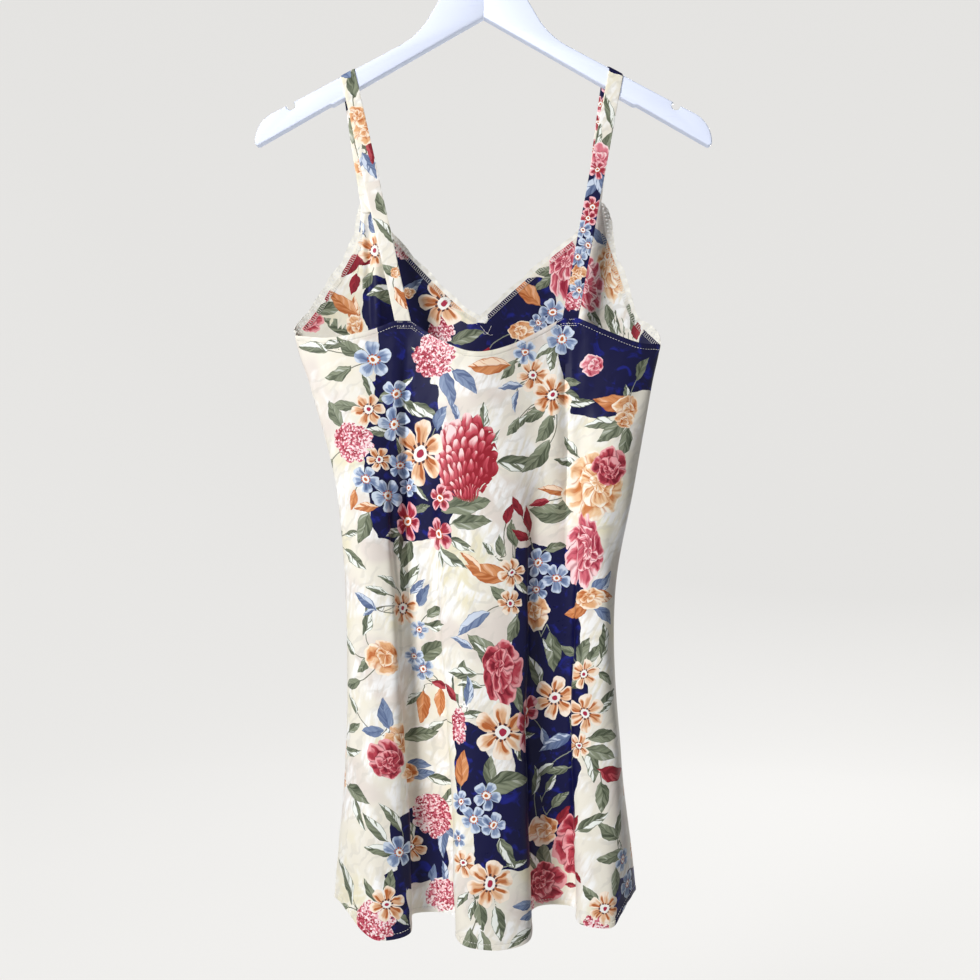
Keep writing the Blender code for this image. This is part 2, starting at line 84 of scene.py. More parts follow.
FRONT_FOLDS = (
    SIDE_LEFT,
    ((-118.8, -118.8, -116.0, -111.0, -106.0, -105.0, -104.0),
     (10.0, 16.0, 17.0, 20.0, 26.0, 33.0, 40.0), 990.0),
    ((-108.0, -108.0, -103.0, -96.0, -90.0, -88.0, -87.0),
     (10.0, 17.0, 18.0, 21.0, 26.0, 33.0, 40.0), 990.0),
    ((-60.0, -60.0, -57.0, -54.0, -50.0, -46.0, -43.0),
     (15.0, 25.0, 21.0, 16.0, 12.0, 11.0, 10.0), 981.0),
    ((-3.0, -3.0, -1.0, 2.0, 4.0, 7.0, 9.0),
     (18.0, 19.0, 20.0, 24.0, 32.0, 42.0, 50.0), 992.0),
    ((58.0, 58.0, 57.0, 56.0, 56.0, 60.0, 62.0),
     (15.0, 25.0, 21.0, 16.0, 12.0, 11.0, 10.0), 978.0),
    ((104.0, 104.0, 99.0, 94.0, 90.0, 95.0, 98.0),
     (10.0, 17.0, 18.0, 21.0, 26.0, 33.0, 40.0), 985.0),
    ((115.3, 115.3, 112.0, 108.0, 103.0, 109.0, 114.0),
     (10.0, 16.0, 17.0, 20.0, 26.0, 33.0, 40.0), 985.0),
    SIDE_RIGHT,
)

# The top edges as runs between corners, each a smooth line through (x, drop).
BACK_EDGE = (
    ((-183.0, 432.5), (-150.0, 435.5), (-112.0, 429.0), (-85.0, 419.0)),
    ((-85.0, 419.0), (-70.0, 419.0)),
    ((-70.0, 419.0), (-42.0, 438.0), (-9.0, 450.0), (26.0, 443.0), (76.5, 416.5)),
    ((76.5, 416.5), (91.5, 416.5)),
    ((91.5, 416.5), (120.0, 429.0), (150.0, 440.0), (173.0, 441.0)),
)
FRONT_EDGE = (
    ((-183.0, 432.5), (-161.5, 404.5), (-147.5, 381.5), (-133.5, 360.5), (-122.0, 333.0),
     (-118.8, 301.0)),
    ((-118.8, 301.0), (-108.0, 301.0)),
    ((-108.0, 301.0), (-96.0, 327.0), (-52.5, 374.0), (-20.0, 405.0), (-3.0, 416.0)),
    ((-3.0, 416.0), (28.0, 387.0), (63.5, 356.0), (96.0, 327.5), (104.0, 301.0)),
    ((104.0, 301.0), (115.3, 301.0)),
    ((115.3, 301.0), (120.0, 332.5), (130.8, 365.0), (142.5, 399.0), (150.0, 416.0),
     (173.0, 441.0)),
)

# Soft creases between the big folds, as seen from outside: from (x, drop) to (x, drop),
# the width of the trough, and its depth (a negative depth is a ridge).
BACK_CREASES = (
    ((-75.5, 426.0), (-74.5, 700.0), 4.4, 7.0),
    ((-73.0, 560.0), (-68.0, 860.0), 6.0, 6.0),
    ((-87.0, 430.0), (-86.0, 640.0), 7.0, -3.0),
    ((-86.0, 590.0), (-84.0, 850.0), 6.5, -4.5),
    ((-60.0, 470.0), (-58.0, 700.0), 9.0, -2.0),
    ((79.5, 425.0), (80.5, 660.0), 3.6, 5.5),
    ((69.0, 440.0), (67.0, 620.0), 8.0, -2.0),
    ((-76.0, 790.0), (-64.0, 1060.0), 5.5, 5.0),
    ((-52.0, 620.0), (-40.0, 930.0), 7.0, 2.0),
    ((55.0, 560.0), (52.0, 700.0), 7.0, 1.6),
    ((-31.0, 600.0), (-27.0, 850.0), 10.0, 1.8),
    ((38.0, 570.0), (36.0, 760.0), 11.0, 2.0),
    ((-170.0, 452.0), (-120.0, 520.0), 9.0, 1.2),
    ((-150.0, 560.0), (-118.0, 700.0), 10.0, 1.3),
    ((162.0, 455.0), (128.0, 540.0), 8.0, 1.2),
    ((141.0, 560.0), (118.0, 660.0), 8.0, 1.0),
    ((-118.0, 700.0), (-124.0, 930.0), 10.0, 1.3),
    ((118.0, 760.0), (128.0, 950.0), 8.0, 1.1),
    ((10.0, 760.0), (18.0, 940.0), 12.0, 1.4),
)
FRONT_CREASES = (
    ((-106.0, 318.0), (-103.0, 470.0), 5.0, 3.0),
    ((-86.0, 345.0), (-78.0, 520.0), 7.0, -1.8),
    ((102.0, 318.0), (100.0, 470.0), 5.0, 3.0),
    ((86.0, 350.0), (78.0, 520.0), 7.0, -1.8),
    ((-30.0, 430.0), (-26.0, 640.0), 10.0, 1.4),
    ((32.0, 440.0), (30.0, 660.0), 10.0, 1.5),
    ((-24.0, 620.0), (-20.0, 860.0), 11.0, 1.5),
    ((38.0, 600.0), (37.0, 800.0), 10.0, 1.4),
    ((-150.0, 470.0), (-120.0, 580.0), 9.0, 1.2),
    ((148.0, 470.0), (118.0, 600.0), 9.0, 1.2),
    ((-120.0, 720.0), (-126.0, 940.0), 10.0, 1.3),
    ((120.0, 740.0), (129.0, 950.0), 9.0, 1.2),
)

# Shallow waves that keep satin from hanging like sheet metal: width, height, phase, lift.
# Across, they count each place as this wide, and sway this far over this height.
RIPPLE_PLACE = 46.0
RIPPLE_SWAY = (8.0, 61.0)
RIPPLES = (
    (61.0, 410.0, 0.4, 0.55), (37.0, -290.0, 2.1, 0.34), (23.0, 530.0, 4.4, 0.16),
    (88.0, 170.0, 1.3, 0.42), (149.0, -118.0, 3.2, 0.40), (211.0, 74.0, 5.1, 0.22),
)
# How far a side seam pulls the cloth in, over how much of a place, and how far from it the
# creases and the waves come to their full size.
SEAM_PINCH = 0.5
SEAM_REACH = 0.06
SEAM_CALM = 0.35

# Puckers along the hem's and the top's stitching: radians to a place, how far they stray and
# the radians of that, how far from the edge they fade, and their share of the lift.
PUCKER_LIFT = 0.34
HEM_PUCKER = (21.0, 1.7, 4.3, 11.0, 1.0)
TOP_PUCKER = (26.0, 2.1, 3.1, 9.0, 0.7)

# The camera looks level along +Y, in metres and millimetres of lens.
CAMERA_PLACE = (0.00633, -1.3, -0.58245)
CAMERA_LENS = 49.03
CAMERA_SENSOR = 36.0

# ---------------------------------------------------------------------------------------
# The print, charted. Each motif: its x and drop in the middle as the hung dress is
# seen from behind, its radius (a leaf's half length), and how much taller than wide it is
# where that differs. A leaf points away from the flower nearest to it.
# ---------------------------------------------------------------------------------------
BACK_PRINT = {
    "blue_flower": ((-106, 457, 18), (-84, 490, 14), (-86, 519, 16), (-82, 559, 13),
        (-113, 572, 13), (-93, 588, 16), (-75, 580, 9), (40, 450, 12), (76, 437, 15),
        (53, 653, 14), (71, 668, 14), (52, 679, 12), (-64, 718, 9), (-69, 744, 9),
        (-61, 756, 11), (-80, 925, 15), (-21, 876, 10), (-9, 892, 13), (3, 870, 13),
        (10, 897, 12), (-23, 911, 8), (134, 934, 11), (139, 960, 13), (138, 987, 10),),
    "orange_flower": ((-110, 505, 16), (-100, 553, 12), (-61, 547, 25, 1.3), (48, 472, 16),
        (67, 491, 20), (27, 661, 14), (25, 690, 12), (-81, 697, 17), (-91, 973, 17),
        (17, 811, 26), (6, 950, 22), (-18, 933, 13), (70, 784, 21), (96, 758, 14), (97, 795, 18),
        (91, 826, 12), (114, 977, 15),),
    "orange_bud": ((-98, 742, 16, 1.1), (51, 702, 14, 1.2), (59, 913, 17, 0.9),
        (138, 504, 14, 0.9), (-81, 820, 14, 1.2), (102, 686, 15, 0.7), (136, 515, 10, 0.8),),
    "red_flower": ((-41, 590, 13), (-43, 625, 16), (-75, 613, 12, 1.6), (41, 808, 13, 2.0),),
    "mum": ((-125, 536, 19), (-47, 453, 22), (-51, 898, 19, 1.15), (-103, 989, 20),
        (-40, 975, 16), (106, 994, 12), (-23, 806, 8, 2.2),),
    "dahlia": ((-18, 551, 29, 1.3),),
    "rose": ((20, 755, 20, 1.5), (-93, 838, 19), (62, 963, 20), (121, 559, 17, 1.1),),
    "peony": ((94, 641, 21, 1.75),),
    "cream_rose": ((104, 580, 30, 1.1),),
    "pink_bud": ((105, 462, 11),),
    "red_leaf": ((24, 605, 9), (33, 598, 9), (43, 611, 11), (54, 595, 9), (37, 626, 9),
        (-42, 771, 9), (-33, 774, 9), (79, 898, 10), (87, 902, 9), (84, 939, 7), (90, 950, 6),
        (86, 965, 6), (126, 852, 17),),
    "rust_leaf": ((67, 583, 12), (126, 498, 16), (-60, 793, 13), (-44, 788, 12), (-20, 845, 14),
        (-12, 651, 11), (3, 661, 18), (88, 697, 15), (112, 684, 14), (-114, 599, 10),
        (-126, 592, 9), (5, 464, 18),),
    "blue_leaf": ((-34, 485, 16), (-17, 478, 14), (-41, 513, 11), (-28, 506, 10), (26, 483, 10),
        (31, 497, 9), (-10, 708, 16), (-20, 727, 10), (-14, 773, 12), (-93, 796, 13),
        (-106, 812, 10), (72, 827, 15), (62, 824, 10), (-114, 688, 11), (-110, 699, 6),
        (-61, 684, 11), (-66, 676, 9), (-65, 849, 10), (-60, 858, 10), (-40, 923, 14),
        (-33, 914, 8), (-38, 953, 9), (-49, 955, 8), (38, 972, 10), (43, 983, 9), (116, 702, 11),
        (118, 670, 10), (110, 673, 9),),
    "sage_leaf": ((-130, 445, 13), (-165, 445, 13), (-147, 443, 11), (-140, 470, 12),
        (-110, 482, 11), (-93, 492, 9), (-134, 501, 11), (-142, 509, 12), (-103, 526, 10),
        (-82, 541, 9), (-67, 504, 14), (-54, 506, 13), (-63, 450, 8), (-75, 478, 7),
        (-60, 586, 8), (-61, 600, 8), (-128, 624, 8), (-115, 619, 14), (-125, 649, 13),
        (-88, 624, 10), (-84, 638, 12), (-77, 646, 12), (-18, 597, 20), (-11, 613, 16),
        (1, 513, 12), (8, 535, 11), (35, 557, 19), (52, 551, 17), (47, 511, 12), (60, 524, 13),
        (35, 519, 9), (29, 522, 9), (59, 448, 11), (66, 455, 11), (24, 468, 10), (35, 460, 9),
        (115, 519, 15), (124, 525, 15), (135, 537, 13), (83, 490, 12), (95, 498, 11),
        (84, 479, 9), (85, 540, 10), (82, 556, 11), (84, 594, 14), (66, 604, 18), (28, 624, 11),
        (16, 636, 9), (5, 638, 7), (69, 638, 9), (153, 465, 10), (16, 682, 11), (37, 675, 10),
        (28, 715, 12), (68, 740, 16), (51, 758, 15), (62, 733, 7), (-1, 729, 14), (4, 741, 16),
        (-20, 756, 12), (-13, 767, 10), (-9, 794, 9), (32, 779, 13), (24, 858, 20), (6, 848, 13),
        (95, 736, 12), (115, 726, 14), (105, 738, 9), (83, 738, 9), (89, 767, 10),
        (120, 781, 12), (117, 762, 9), (115, 817, 13), (118, 789, 8), (111, 833, 14),
        (104, 843, 15), (59, 855, 11), (67, 866, 9), (52, 863, 12), (74, 854, 9), (76, 882, 9),
        (113, 874, 13), (104, 897, 14), (120, 906, 12), (130, 900, 10), (-123, 872, 14),
        (-120, 891, 13), (-103, 902, 14), (-88, 892, 13), (-98, 923, 13), (-88, 954, 12),
        (-107, 961, 10), (-77, 987, 10), (-133, 956, 20), (-134, 983, 8), (-42, 863, 14),
        (-35, 879, 13), (-69, 785, 9), (-51, 738, 15), (-44, 713, 14), (-48, 700, 10),
        (-79, 672, 14), (-91, 670, 10), (-72, 666, 13), (-103, 678, 9), (-112, 707, 13),
        (-115, 750, 9), (-127, 768, 11), (-126, 787, 9), (-126, 810, 9), (-128, 833, 12),
        (-62, 819, 15), (-50, 813, 10), (33, 829, 9), (22, 923, 13), (32, 933, 9), (49, 942, 13),
        (61, 939, 14), (123, 929, 12), (102, 964, 9), (126, 954, 12), (-3, 980, 12),
        (14, 987, 14), (-20, 967, 9), (-15, 1010, 15), (1, 1011, 15), (35, 1002, 13),
        (-10, 975, 9), (-20, 635, 12), (-30, 649, 14), (-41, 647, 9), (-21, 766, 18),
        (138, 489, 7), (-132, 731, 13),),
}
INSIDE_PRINT = {
    "orange_flower": ((-108, 347, 17), (-40, 397, 25),),
    "blue_flower": ((67, 406, 13), (53, 417, 9),),
    "peony": ((81, 365, 18, 1.6), (103, 380, 14, 2.0),),
    "cream_rose": ((127, 367, 17, 1.8),),
    "rose": ((-170, 417, 12),),
    "mum": ((-79, 345, 10), (-43, 425, 14),),
    "blue_leaf": ((-123, 322, 9), (-110, 321, 10), (-72, 383, 13), (115, 334, 9),),
    "rust_leaf": ((-140, 399, 14), (-130, 407, 13), (42, 385, 16),),
    "red_leaf": ((-132, 363, 11), (-124, 357, 14), (-129, 380, 9), (-154, 389, 7), (151, 425, 8),),
    "orange_bud": ((38, 425, 13, 0.8), (-74, 387, 6), (-130, 420, 9, 1.3),),
    "sage_leaf": ((-94, 332, 10), (-152, 404, 12), (-144, 421, 14), (-118, 377, 9),
        (-104, 387, 13), (-97, 393, 11), (-16, 431, 15), (64, 367, 13), (58, 379, 9),
        (-93, 306, 9), (122, 411, 10), (127, 421, 11), (133, 417, 11), (140, 413, 12),
        (148, 417, 10), (106, 413, 10), (-82, 425, 9), (-141, 367, 8),),
}

# Each strap's motifs: across from its middle, and along from the top of the hanger's arm,
# down the back run, or down the front run where it is negative.
STRAP_PRINT = {
    "left": {
        "blue_leaf": ((-3, 7, 10), (1, 104, 12), (7, 98, 8), (-6, 99, 8), (3, -30, 10)),
        "sage_leaf": ((5, 21, 13), (-5, 90, 7), (4, 143, 10), (2, 168, 13), (-1, 208, 10),
                      (-4, -55, 11)),
        "orange_bud": ((-1, 55, 11), (2, 71, 12), (4, 211, 6), (0, -90, 10)),
        "rust_leaf": ((-5, 66, 9), (4, 238, 12)),
        "red_leaf": ((5, 87, 8), (6, 94, 8)),
    },
    "right": {
        "sage_leaf": ((0, 51, 12), (3, 56, 10), (-6, 78, 10), (5, 81, 9), (2, -70, 11)),
        "pink_bud": ((-1, 96, 12),),
        "red_flower": ((0, 110, 9), (2, 146, 10), (-1, 158, 9), (-5, -14, 8), (-6, -34, 8),
                       (-5, -52, 8), (-6, -78, 9), (-5, -104, 9)),
        "blue_leaf": ((-3, 128, 13), (5, 123, 12)),
        "blue_flower": ((-4, 170, 9), (4, 184, 10), (-4, 197, 10), (3, 228, 10)),
        "orange_bud": ((0, 212, 8), (-4, 221, 6)),
        "mum": ((0, 240, 10),),
    },
}

# The navy grounds: (low x, high x, low drop, high drop) on the panels, and (from, to) along
# the straps.
BACK_NAVY = (
    (-101, -51, 416, 520), (-109, -42, 480, 590), (-110, -30, 545, 631),
    (73, 176, 408, 490), (85, 140, 450, 510), (30, 95, 635, 750), (28, 85, 705, 800),
    (-26, 6, 805, 886), (26, 91, 760, 929), (-8, 60, 856, 939), (-85, -38, 893, 962),
    (-92, -70, 940, 1015), (123, 156, 950, 1012),
)
INSIDE_NAVY = (
    (-121, -78, 371, 446), (-90, -38, 342, 470), (-46, 16, 416, 458), (3, 71, 371, 476),
    (154, 176, 421, 446),
)
STRAP_NAVY = {"left": ((-32.0, 7.0),), "right": ((-34.0, 14.0), (112.0, 262.0))}

# The print repeats at this height and width, turned over from one half to the other.
REPEAT_HEIGHT = 474.0
REPEAT_WIDTH = 330.0

# The front takes it below the part of its inside that the chart gives, moved this far along
# the cloth and down it. A motif of two more repeats joins it where it stands clear of the
# rest by this share of their sizes.
CHARTED_FRONT = 446.0
FRONT_END = 1030.0
FRONT_REACH = 330.0
FRONT_MOVE = (168.0, REPEAT_HEIGHT / 2)
FRONT_FILLS = ((20.0, 90.0), (-60.0, 330.0))
CLEAR_SHARE = 0.86

# The back's hidden folds take a repeat between these drops, this far from its middle.
BACK_MOVE = (96.0, 171.0)
BACK_SPAN = (455.0, 1015.0)
BACK_REACH = 300.0

# How far a leaf's stalk may run to its flower, and how near a point measures its distance.
STALK_REACH = 58.0
STALK_STEPS = 6
STALK_ZONE = 9.0

# The distance from a stalk or a navy ground that stands for none near, and the margin, as a
# share of its size and in millimetres, by which a motif's faces reach past its outline.
FAR = 60.0
MOTIF_MARGIN = (1.06, 2.0)


def shade(red, green, blue):
    """A screen colour, 0 to 255, as the linear colour that materials work in."""
    values = [channel / 255 for channel in (red, green, blue)]
    linear = [v / 12.92 if v <= 0.04045 else ((v + 0.055) / 1.055) ** 2.4 for v in values]
    return (*linear, 1.0)


def motif(order, petals, rings, deep, tint, pale, heart=0, florets=0.0):
    """One kind of motif: petals in a ring, rings (0 is a leaf), its three colours, its heart
    (0 none, 1 crimson, 2 orange), how far it breaks up into florets, its place in the layers."""
    return {"order": order, "petals": petals, "rings": rings, "deep": shade(*deep),
            "tint": shade(*tint), "pale": shade(*pale), "heart": heart, "florets": florets}


MOTIFS = {
    "sage_leaf": motif(0, 1, 0, (68, 76, 60), (136, 143, 120), (238, 241, 236)),
    "blue_leaf": motif(1, 1, 0, (78, 94, 132), (126, 143, 174), (204, 214, 230)),
    "rust_leaf": motif(2, 1, 0, (170, 90, 44), (214, 146, 96), (248, 222, 196)),
    "red_leaf": motif(3, 1, 0, (112, 24, 38), (150, 40, 52), (180, 76, 84)),
    "cream_rose": motif(4, 6, 3, (196, 116, 62), (236, 198, 156), (251, 242, 228)),
    "orange_bud": motif(5, 3, 2, (186, 100, 48), (228, 176, 128), (250, 234, 214)),
    "peony": motif(6, 8, 3, (146, 34, 56), (208, 98, 114), (250, 214, 216)),
    "dahlia": motif(7, 38, 4.2, (150, 32, 46), (202, 80, 94), (252, 218, 218)),
    "mum": motif(8, 11, 3, (156, 34, 54), (214, 112, 130), (252, 230, 232), 0, 1.0),
    "rose": motif(9, 5, 3, (116, 24, 40), (184, 66, 80), (238, 168, 172)),
    "pink_bud": motif(10, 3, 2, (166, 40, 62), (222, 128, 142), (250, 218, 220)),
    "orange_flower": motif(11, 6, 1, (180, 98, 50), (228, 182, 142), (248, 234, 218), 1),
    "red_flower": motif(12, 5, 1, (122, 24, 42), (170, 48, 66), (244, 190, 196), 2),
    "blue_flower": motif(13, 5, 1, (80, 97, 136), (130, 149, 183), (208, 219, 234), 2),
}
# A leaf is drawn this much longer than charted, and strays this far, in radians, from
# pointing straight away from its flower. Up to four motifs can lie on one face of cloth.
LEAF_GAIN = 1.22
LEAF_STRAY = 1.1
LAYERS = 4


# ---------------------------------------------------------------------------------------
# The hung cloth's surface
# ---------------------------------------------------------------------------------------
def curve_through(stations, values, at, level_ends):
    """Values on a smooth curve through all the stations, for an array of places."""
    x, v = np.array(stations, float), np.array(values, float)
    count = np.arange(len(x))
    low, high = np.maximum(count - 1, 0), np.minimum(count + 1, len(x) - 1)
    slope = (v[high] - v[low]) / (x[high] - x[low])
    if level_ends:
        slope[[0, -1]] = 0.0
    at = np.clip(at, x[0], x[-1])
    k = np.clip(np.searchsorted(x, at) - 1, 0, len(x) - 2)
    width = x[k + 1] - x[k]
    t = (at - x[k]) / width
    value = (1 + 2 * t) * (1 - t) ** 2 * v[k] + t * (1 - t) ** 2 * width * slope[k]
    return value + t * t * (3 - 2 * t) * v[k + 1] - t * t * (1 - t) * width * slope[k + 1]


def ease(value, low, high):
    """0 below low, 1 above high, and smooth between."""
    t = np.clip((value - low) / (high - low), 0.0, 1.0)
    return t * t * (3 - 2 * t)


class Panel:
    """A hung sheet of cloth between fold lines; place counts the lines from the left."""

    def __init__(self, folds, edge, creases, outward):
        self.folds, self.edge, self.creases, self.outward = folds, edge, creases, outward
        self.last = len(folds) - 1

    def line(self, k, drop):
        """x and y of one fold line at an array of drops."""
        across, deep, _ = self.folds[k]
        return (curve_through(LEVEL_DROPS, across, drop, True),
                curve_through(LEVEL_DROPS, deep, drop, True))

    def section(self, place, drop):
        """x and y of the cloth at arrays of places and drops, without its creases."""
        place, drop = np.broadcast_arrays(np.asarray(place, float), np.asarray(drop, float))
        x, y = np.zeros(place.shape), np.zeros(place.shape)
        segment = np.clip(place.astype(int), 0, self.last - 1)
        for k in np.unique(segment):
            here = segment == k
            t, at = place[here] - k, drop[here]
            x0, y0 = self.line(k, at)
            x1, y1 = self.line(k + 1, at)
            corner = ease(at, *CORNER_DROPS)
            if k == 0:
                across, depth = 1 - np.cos(np.pi * t / 2), np.sin(np.pi * t / 2)
                across = across + (t - across) * corner
            elif k == self.last - 1:
                across, depth = np.sin(np.pi * t / 2), 1 - np.cos(np.pi * t / 2)
                across = across + (t - across) * corner
            else:
                turn = curve_through(LEVEL_DROPS, FOLD_TURNS, at, True)
                widen = CREST_GAIN * turn * np.where(abs(y0) > abs(y1), 1, -1)
                across = t + turn * np.sin(2 * np.pi * t) / (2 * np.pi)
                across = across + widen * np.sin(np.pi * t) ** 2
                depth = (1 - np.cos(np.pi * t)) / 2
            x[here] = x0 + (x1 - x0) * across
            y[here] = y0 + (y1 - y0) * depth
        return x, y

    def facing(self, place, drop):
        """Level direction out of the dress, as x and y; sideways at a side seam."""
        place = np.asarray(place, float)
        ax, ay = self.section(np.clip(place - 0.01, 0, self.last), drop)
        bx, by = self.section(np.clip(place + 0.01, 0, self.last), drop)
        dx, dy = np.where((place <= 0) | (place >= self.last), 0.0, bx - ax), by - ay
        length = np.hypot(dx, dy) + 1e-9
        return -dy / length * self.outward, dx / length * self.outward

    def top(self, place):
        """Drop of the cloth's top edge at an array of places."""
        x, _ = self.section(place, np.full(np.shape(place), EDGE_LEVEL))
        drop = np.zeros(x.shape)
        for run in self.edge:
            here = (x >= run[0][0] - 1e-6) & (x <= run[-1][0] + 1e-6)
            stations, drops = zip(*run)
            drop[here] = curve_through(stations, drops, x[here], False)
        return drop

    def hem(self, place):
        """Drop of the cloth's lower edge at an array of places."""
        place = np.asarray(place, float)
        k = np.clip(place.astype(int), 0, self.last - 1)
        drops = np.array([fold[2] for fold in self.folds])
        share = (1 - np.cos(np.pi * (place - k))) / 2
        return drops[k] * (1 - share) + drops[k + 1] * share

    def relief(self, place, drop, x, facing_y):
        """How far the creases and the cloth's own unevenness lift it off its section."""
        seen = np.clip(facing_y * self.outward, 0.0, 1.0) ** 2
        lift = np.zeros(np.shape(x))
        for (x0, start), (x1, end), width, depth in self.creases:
            along = np.clip((drop - start) / (end - start), 0.0, 1.0)
            middle = x0 + (x1 - x0) * along
            lift -= depth * np.sin(np.pi * along) * np.exp(-((x - middle) / width) ** 2) * seen
        sway, sway_height = RIPPLE_SWAY
        across = place * RIPPLE_PLACE + sway * np.sin(drop / sway_height + place)
        for span, height, phase, amount in RIPPLES:
            lift += amount * np.sin(2 * np.pi * (across / span + drop / height) + phase)
        off_seam = np.minimum(place, self.last - place)
        lift = lift * ease(off_seam, 0.0, SEAM_CALM)
        return lift - SEAM_PINCH * np.exp(-(off_seam / SEAM_REACH) ** 2)

    def surface(self, place, drop, offset=0.0):
        """Points of the cloth, pushed out of the dress by offset, in millimetres."""
        place, drop = np.broadcast_arrays(np.asarray(place, float), np.asarray(drop, float))
        x, y = self.section(place, drop)
        nx, ny = self.facing(place, drop)
        lift = self.relief(place, drop, x, ny) + offset
        return np.stack((x + nx * lift, y + ny * lift, -drop), axis=-1)


BACK = Panel(BACK_FOLDS, BACK_EDGE, BACK_CREASES, -1)
FRONT = Panel(FRONT_FOLDS, FRONT_EDGE, FRONT_CREASES, 1)

# How many columns of faces a panel has from each fold line to the next.
BACK_COLUMNS = (24,) * 6
FRONT_COLUMNS = (24, 6, 20, 22, 22, 20, 6, 24)

# Rows from a cut edge inwards, and how far the folded band there stands off the cloth.
BAND_ROWS = (0.0, 1.2, 2.4, 3.6, 4.6, 5.2, 5.8, 6.6, 8.0)
BAND_LIFT = (0.10, 0.32, 0.36, 0.34, 0.26, -0.16, 0.16, 0.08, 0.0)
BODY_ROWS = 220


def places_across(columns):
    """The places of a panel's columns of points."""
    found = [0.0]
    for k, count in enumerate(columns):
        found.extend(k + (step + 1) / count for step in range(count))
    return np.array(found)


def panel_drops(panel, place):
    """Drops of a panel's rows, rows by columns, crowded at the folded top and hem."""
    top, hem = panel.top(place), panel.hem(place)
    band = np.array(BAND_ROWS)[:, None]
    share = (np.arange(1, BODY_ROWS) / BODY_ROWS)[:, None]
    start, end = top + BAND_ROWS[-1], hem - BAND_ROWS[-1]
    return np.concatenate((top + band, start + (end - start) * share, hem - band[::-1]))


def along_cloth(panel, place, drop):
    """Distance along the cloth from its middle line, for rows of columns."""
    x, y = panel.section(place, drop)
    steps = np.hypot(np.diff(x, axis=1), np.diff(y, axis=1))
    run = np.concatenate((np.zeros((len(x), 1)), np.cumsum(steps, axis=1)), axis=1)
    middle = int(np.argmin(abs(place[0] - panel.last / 2)))
    return run - run[:, middle:middle + 1]


# ---------------------------------------------------------------------------------------
# Laying the charted print on the cloth
# ---------------------------------------------------------------------------------------
# A drape's points from one fold line to the next, and how near to a place seen they count.
DRAPE_STEPS = 72
DRAPE_NEAR = 1.5


class Drape:
    """The cloth of one panel at one drop, to find which part of it shows from behind."""

    def __init__(self, panel, drop):
        place = np.linspace(0, panel.last, DRAPE_STEPS * panel.last + 1)
        self.x, self.y = panel.section(place, np.full(place.shape, float(drop)))
        run = np.cumsum(np.hypot(np.diff(self.x, prepend=self.x[0]),
                                 np.diff(self.y, prepend=self.y[0])))
        self.run = run - run[DRAPE_STEPS * panel.last // 2]

    def seen_at(self, x):
        """Distance along the cloth to what shows at x from behind."""
        gap = abs(self.x - x)
        near = np.flatnonzero(gap <= max(DRAPE_NEAR, gap.min() + 0.01))
        return float(self.run[near[np.argmin(self.y[near] + 3 * gap[near])]])

    def hidden(self, along, size):
        """Whether the cloth that far along lies behind another fold of it."""
        k = int(np.argmin(abs(self.run - along)))
        return abs(self.seen_at(self.x[k]) - along) > size


def shuffle(*numbers):
    """A fixed number from 0 to 1 that looks random, from a place on the cloth."""
    mixed = math.sin(sum(n * w for n, w in zip(numbers, (12.9898, 78.233, 37.719)))) * 43758.5
    return mixed - math.floor(mixed)


def laid_out(panel, chart):
    """Charted motifs as (kind, along the cloth, drop, size, stretch)."""
    found = []
    for kind, rows in chart.items():
        for x, drop, size, *stretch in rows:
            along = Drape(panel, drop).seen_at(x)
            found.append((kind, along, float(drop), float(size), stretch[0] if stretch else 1.0))
    return found


def laid_boxes(panel, boxes):
    """Charted navy grounds as (from, to along the cloth, from, to in drop)."""
    found = []
    for low, high, top, bottom in boxes:
        drape = Drape(panel, (top + bottom) / 2)
        found.append((drape.seen_at(low), drape.seen_at(high), float(top), float(bottom)))
    return found


def repeated(rows, navy, turn_over, move):
    """One height of the charted print, turned over or not, and moved along the bolt."""
    side, (shift, drop_shift) = -1.0 if turn_over else 1.0, move
    limit = CHARTED_FRONT + REPEAT_HEIGHT
    motifs, boxes = [], []
    for across in (-1, 0, 1):
        for down in (-2, -1, 0, 1):
            dx, dz = shift + across * REPEAT_WIDTH, drop_shift + down * REPEAT_HEIGHT
            motifs += [(kind, along * side + dx, drop + dz, size, stretch)
                       for kind, along, drop, size, stretch in rows if drop < limit]
            boxes += [(min(a * side, b * side) + dx, max(a * side, b * side) + dx,
                       top + dz, bottom + dz) for a, b, top, bottom in navy if top < limit]
    return motifs, boxes


def fill_gaps(motifs, spare):
    """Adds those of the spare motifs that stand clear of everything already there."""
    filled = list(motifs)
    for row in spare:
        if all(math.hypot(row[1] - along, row[2] - drop) > (row[3] + size) * CLEAR_SHARE
               for _, along, drop, size, _ in filled):
            filled.append(row)
    return filled


def print_of_back():
    """The charted back, with a repeat of it on the cloth that other folds hide."""
    motifs, navy = laid_out(BACK, BACK_PRINT), laid_boxes(BACK, BACK_NAVY)
    top, bottom = BACK_SPAN
    for row in repeated(motifs, navy, False, BACK_MOVE)[0]:
        _, along, drop, size, _ = row
        if (top < drop < bottom and abs(along) < BACK_REACH
                and Drape(BACK, drop).hidden(along, size * 0.8)):
            motifs.append(row)
    return motifs, navy


